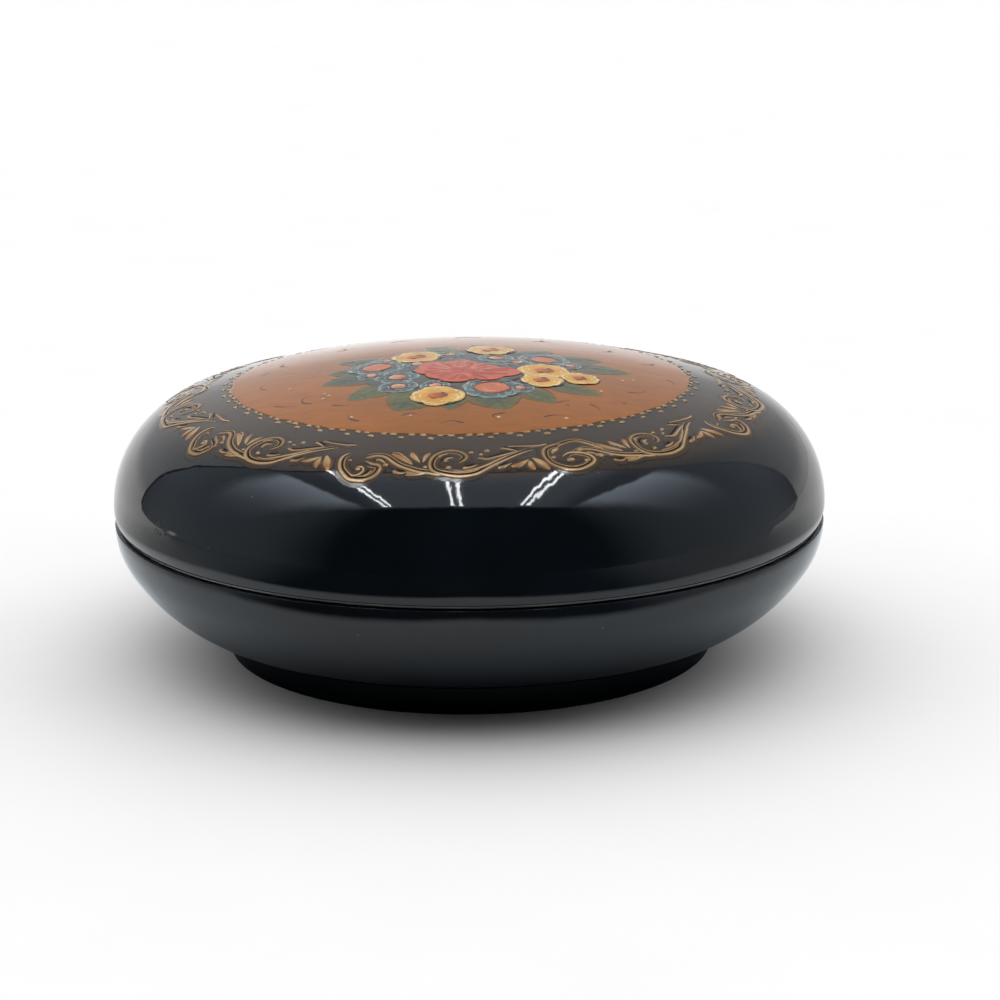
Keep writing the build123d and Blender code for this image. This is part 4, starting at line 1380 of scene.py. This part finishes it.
def sheet(scene, name, low, high, height, material):
    """A level sheet between two corners, marked as stage."""
    mesh = bpy.data.meshes.new(name)
    corners = [(low[0], low[1]), (high[0], low[1]), (high[0], high[1]), (low[0], high[1])]
    mesh.from_pydata([(x, y, height) for x, y in corners], [], [(0, 1, 2, 3)])
    mesh.materials.append(material)
    made = bpy.data.objects.new(name, mesh)
    scene.collection.objects.link(made)
    return made


def lay_floor(scene):
    """White sheet. Its mirror image in the lacquer ends where the real sheet ends.

    It ends in front of the box, on a line that slants back at the sides, and far out at the sides along
    the tent's open front, with a dark rim. For gloss only, the floor's colour is a painted reflection:
    past its end a dim room, near the box the sheet in a painted shade, and farther off a sheet that
    darkens towards the front.
    """
    material, wires, shader = material_start("pale_floor")
    where = wires.position()
    x, y, _ = wires.parts(where)
    aside = wires.size(x)
    front_end = wires.plus(wires.times(aside, 0.48), -0.092)
    beyond = wires.step(wires.minus(y, front_end), 0.008, -0.010)
    past_front = wires.minus(wires.minus(wires.times(aside, TENT_SLANT), 0.10), y)
    past_side = wires.minus(wires.times(aside, 1.5), 0.555)
    rounded = wires.times(wires.larger(past_front, 0.0), wires.larger(past_side, 0.0))
    beyond = wires.larger(beyond, wires.step(rounded, 0.003, 0.006))
    rim = wires.step(wires.size(wires.minus(rounded, 0.006)), 0.006, 0.002)
    rim = wires.times(rim, wires.step(x, -0.1, 0.1, 0.85, 0.2))
    reach = wires.distance(where)
    side = wires.over(x, wires.larger(reach, MM))
    side = wires.larger(wires.plus(side, 0.10), wires.minus(-0.04, side))
    # painted reflection: a dim room, lighter towards the sides, seen only in gloss
    room = wires.mix(wires.step(side, 0.62, 0.99), (0.045, 0.048, 0.053), (0.37, 0.39, 0.41))
    room = wires.mix(rim, room, RIM_DARK)
    glossy = wires.node("ShaderNodeLightPath").outputs["Is Glossy Ray"]
    # painted shade: the sheet near the box, seen only in gloss; farther off a painted reflection that
    # darkens towards the front and a little on the right
    mirrored = wires.mix(wires.step(reach, 0.036, 0.062), (0.34, 0.38, 0.42), (0.88, 0.94, 0.98))
    fading = wires.step(y, -0.03, 0.13, 0.38, 0.98)
    fading = wires.times(fading, wires.step(x, -0.05, 0.05, 1.0, 0.86))
    distant = wires.mix(fading, (0.0, 0.0, 0.0), (1.0, 1.0, 1.0))
    mirrored = wires.mix(wires.step(reach, 0.085, 0.115), mirrored, distant)
    floor = scene.trinket_colours.floor
    grain = wires.step(wires.noise(where, 30.0, 4.0, 0.6), 0.3, 0.8)
    paper = wires.mix(grain, floor, [channel * 0.985 for channel in floor])
    paper = wires.mix(glossy, paper, mirrored)
    seen = wires.mix(wires.times(beyond, glossy), paper, room)
    wires.feed(shader, {"Base Color": seen, "Roughness": 0.9, "Specular IOR Level": 0.0})
    sheet(scene, "floor", (-FLOOR_REACH, -FLOOR_REACH), (FLOOR_REACH, FLOOR_REACH), 0.0, material)


def hang_tubes(scene):
    """Three pairs of tubes under the ceiling, seen only as reflections in gloss."""
    material = bpy.data.materials.new("tube_light")
    material.use_nodes = True
    tree = material.node_tree
    tree.nodes.clear()
    wires = Wiring(tree)
    glow = wires.node("ShaderNodeEmission", {"Color": (0.95, 0.97, 1.0, 1.0), "Strength": 22.0})
    wires.node("ShaderNodeOutputMaterial", {"Surface": glow.outputs[0]})
    for index, middle in enumerate(TUBE_MIDDLES):
        low, high = (middle - TUBE_HALF, -0.77), (middle + TUBE_HALF, 0.80)
        tube = sheet(scene, f"tube_{index}", low, high, CEILING, material)
        tube.visible_camera = False
        tube.visible_diffuse = False
        tube.visible_shadow = False


def light_room(scene):
    """Even white light all round; gloss shows a white tent that is open to a dim room in front.

    A direction is read as a place on the ceiling, across and away, or as one on the walls.
    """
    world = bpy.data.worlds.new("studio")
    scene.world = world
    world.use_nodes = True
    tree = world.node_tree
    tree.nodes.clear()
    wires = Wiring(tree)
    x, y, z = wires.parts(wires.node("ShaderNodeTexCoord").outputs["Generated"])
    up = wires.larger(z, 0.02)
    aside = wires.size(x)
    across = wires.over(wires.times(aside, CEILING), up)
    away = wires.over(wires.times(y, CEILING), up)
    panel_edge = wires.plus(wires.times(away, 0.14), 1.08)
    beyond = wires.minus(across, panel_edge)
    fading = wires.math("EXPONENT", wires.over(wires.larger(beyond, -0.1), -0.75))
    panel = wires.times(fading, wires.step(beyond, -0.03, 0.06, 0.0, 2.4))
    panel = wires.times(panel, wires.step(away, -0.85, -0.35))
    panel = wires.times(panel, wires.step(away, 0.95, 0.50))
    lit = wires.plus(panel, wires.step(across, 0.65, 0.95, 0.87, 0.45))
    ceiling = wires.times(wires.step(away, -0.86, -0.72), wires.step(z, 0.10, 0.50))
    flat = wires.math("SQRT", wires.minus(1.0005, wires.times(z, z)))
    wall = wires.step(wires.over(aside, flat), 0.66, 0.99, 0.045, 0.42)
    ceiling_light = wires.mix(1.0, (0.84, 0.95, 1.10), lit, "MULTIPLY")
    wall_light = wires.mix(1.0, (0.90, 0.99, 1.08), wall, "MULTIPLY")
    room = wires.mix(ceiling, wall_light, ceiling_light)
    past = wires.minus(y, wires.larger(wires.times(aside, TENT_SLANT), 0.350))
    tent_light = wires.mix(wires.step(z, 0.03, 0.17), (0.95, 0.95, 0.95), (0.64, 0.64, 0.65))
    tent_light = wires.mix(1.0, tent_light, wires.step(x, -0.4, 0.5, 1.10, 0.80), "MULTIPLY")
    seam = wires.step(wires.size(past), 0.020, 0.006, 0.0, 1.0)
    seam = wires.times(seam, wires.step(x, 0.05, 0.30, 0.92, 0.30))
    seen = wires.mix(wires.step(past, -0.012, 0.012), room, tent_light)
    seen = wires.mix(seam, seen, RIM_DARK)
    path = wires.node("ShaderNodeLightPath")
    behind = wires.step(wires.over(y, flat), -0.70, -0.37)
    front_light = wires.step(z, 0.70, 0.88, 0.0, 1.78)
    spread = wires.mix(behind, front_light, wires.step(z, 0.05, 0.63, 0.0, 1.48))
    light = wires.mix(path.outputs["Is Glossy Ray"], spread, seen)
    light = wires.mix(path.outputs["Is Camera Ray"], light, (1.0, 1.0, 1.0))
    sky = wires.node("ShaderNodeBackground", {"Color": light, "Strength": 1.0})
    wires.node("ShaderNodeOutputWorld", {"Surface": sky.outputs[0]})
    world.cycles.sampling_method = "NONE"


def place_camera(scene):
    """Camera of the reference view: a 93.6 mm lens from 0.41 m, looking a little down."""
    data = bpy.data.cameras.new("camera")
    data.sensor_width = 36.0
    data.lens = 93.6
    data.clip_start = 0.01
    camera = bpy.data.objects.new("camera", data)
    right = (0.9998987, -0.01331824, -0.00502056)
    up = (0.00819822, 0.25057111, 0.96806348)
    ahead = (0.01163489, 0.96800658, -0.25065492)
    place = (0.0, -0.393229, 0.124085)
    rows = [[right[axis], up[axis], -ahead[axis], place[axis]] for axis in range(3)]
    camera.matrix_world = Matrix([*rows, [0.0, 0.0, 0.0, 1.0]])
    scene.collection.objects.link(camera)
    scene.camera = camera


class TRINKET_OT_stage(bpy.types.Operator):
    """Lays the pale floor, sets the soft studio light and places the camera"""

    bl_idname = "trinket.stage"
    bl_label = "Stage"

    def execute(self, context):
        context.scene.view_settings.view_transform = "Standard"
        lay_floor(context.scene)
        hang_tubes(context.scene)
        light_room(context.scene)
        place_camera(context.scene)
        return {"FINISHED"}


class TRINKET_PT_panel(bpy.types.Panel):
    """Lists the pieces of the box"""

    bl_idname = "TRINKET_PT_panel"
    bl_label = "Trinket Box"
    bl_space_type = "VIEW_3D"
    bl_region_type = "UI"
    bl_category = "Trinket Box"

    def draw(self, context):
        for operator in OPERATORS:
            self.layout.operator(operator.bl_idname)
        for group in ("trinket_sizes", "trinket_paint", "trinket_colours"):
            settings = getattr(context.scene, group)
            box = self.layout.box()
            for name in settings.__annotations__:
                box.prop(settings, name)


OPERATORS = (
    TRINKET_OT_lid,
    TRINKET_OT_bowl,
    TRINKET_OT_collar,
    TRINKET_OT_foot,
    TRINKET_OT_ground,
    TRINKET_OT_beads,
    TRINKET_OT_border,
    TRINKET_OT_leaves,
    TRINKET_OT_blooms,
    TRINKET_OT_stage,
)
CLASSES = (TrinketSizes, TrinketPaint, TrinketColours, *OPERATORS, TRINKET_PT_panel)


def register():
    """Adds the classes and the scene's settings."""
    for item in CLASSES:
        bpy.utils.register_class(item)
    bpy.types.Scene.trinket_sizes = bpy.props.PointerProperty(type=TrinketSizes)
    bpy.types.Scene.trinket_paint = bpy.props.PointerProperty(type=TrinketPaint)
    bpy.types.Scene.trinket_colours = bpy.props.PointerProperty(type=TrinketColours)


def unregister():
    """Takes them away again."""
    del bpy.types.Scene.trinket_colours
    del bpy.types.Scene.trinket_paint
    del bpy.types.Scene.trinket_sizes
    for item in reversed(CLASSES):
        bpy.utils.unregister_class(item)


def main():
    """Builds every piece."""
    register()
    bpy.ops.trinket.lid()
    bpy.ops.trinket.bowl()
    bpy.ops.trinket.collar()
    bpy.ops.trinket.foot()
    bpy.ops.trinket.ground()
    bpy.ops.trinket.beads()
    bpy.ops.trinket.border()
    bpy.ops.trinket.leaves()
    bpy.ops.trinket.blooms()
    bpy.ops.trinket.stage()


if __name__ == "__main__":
    main()
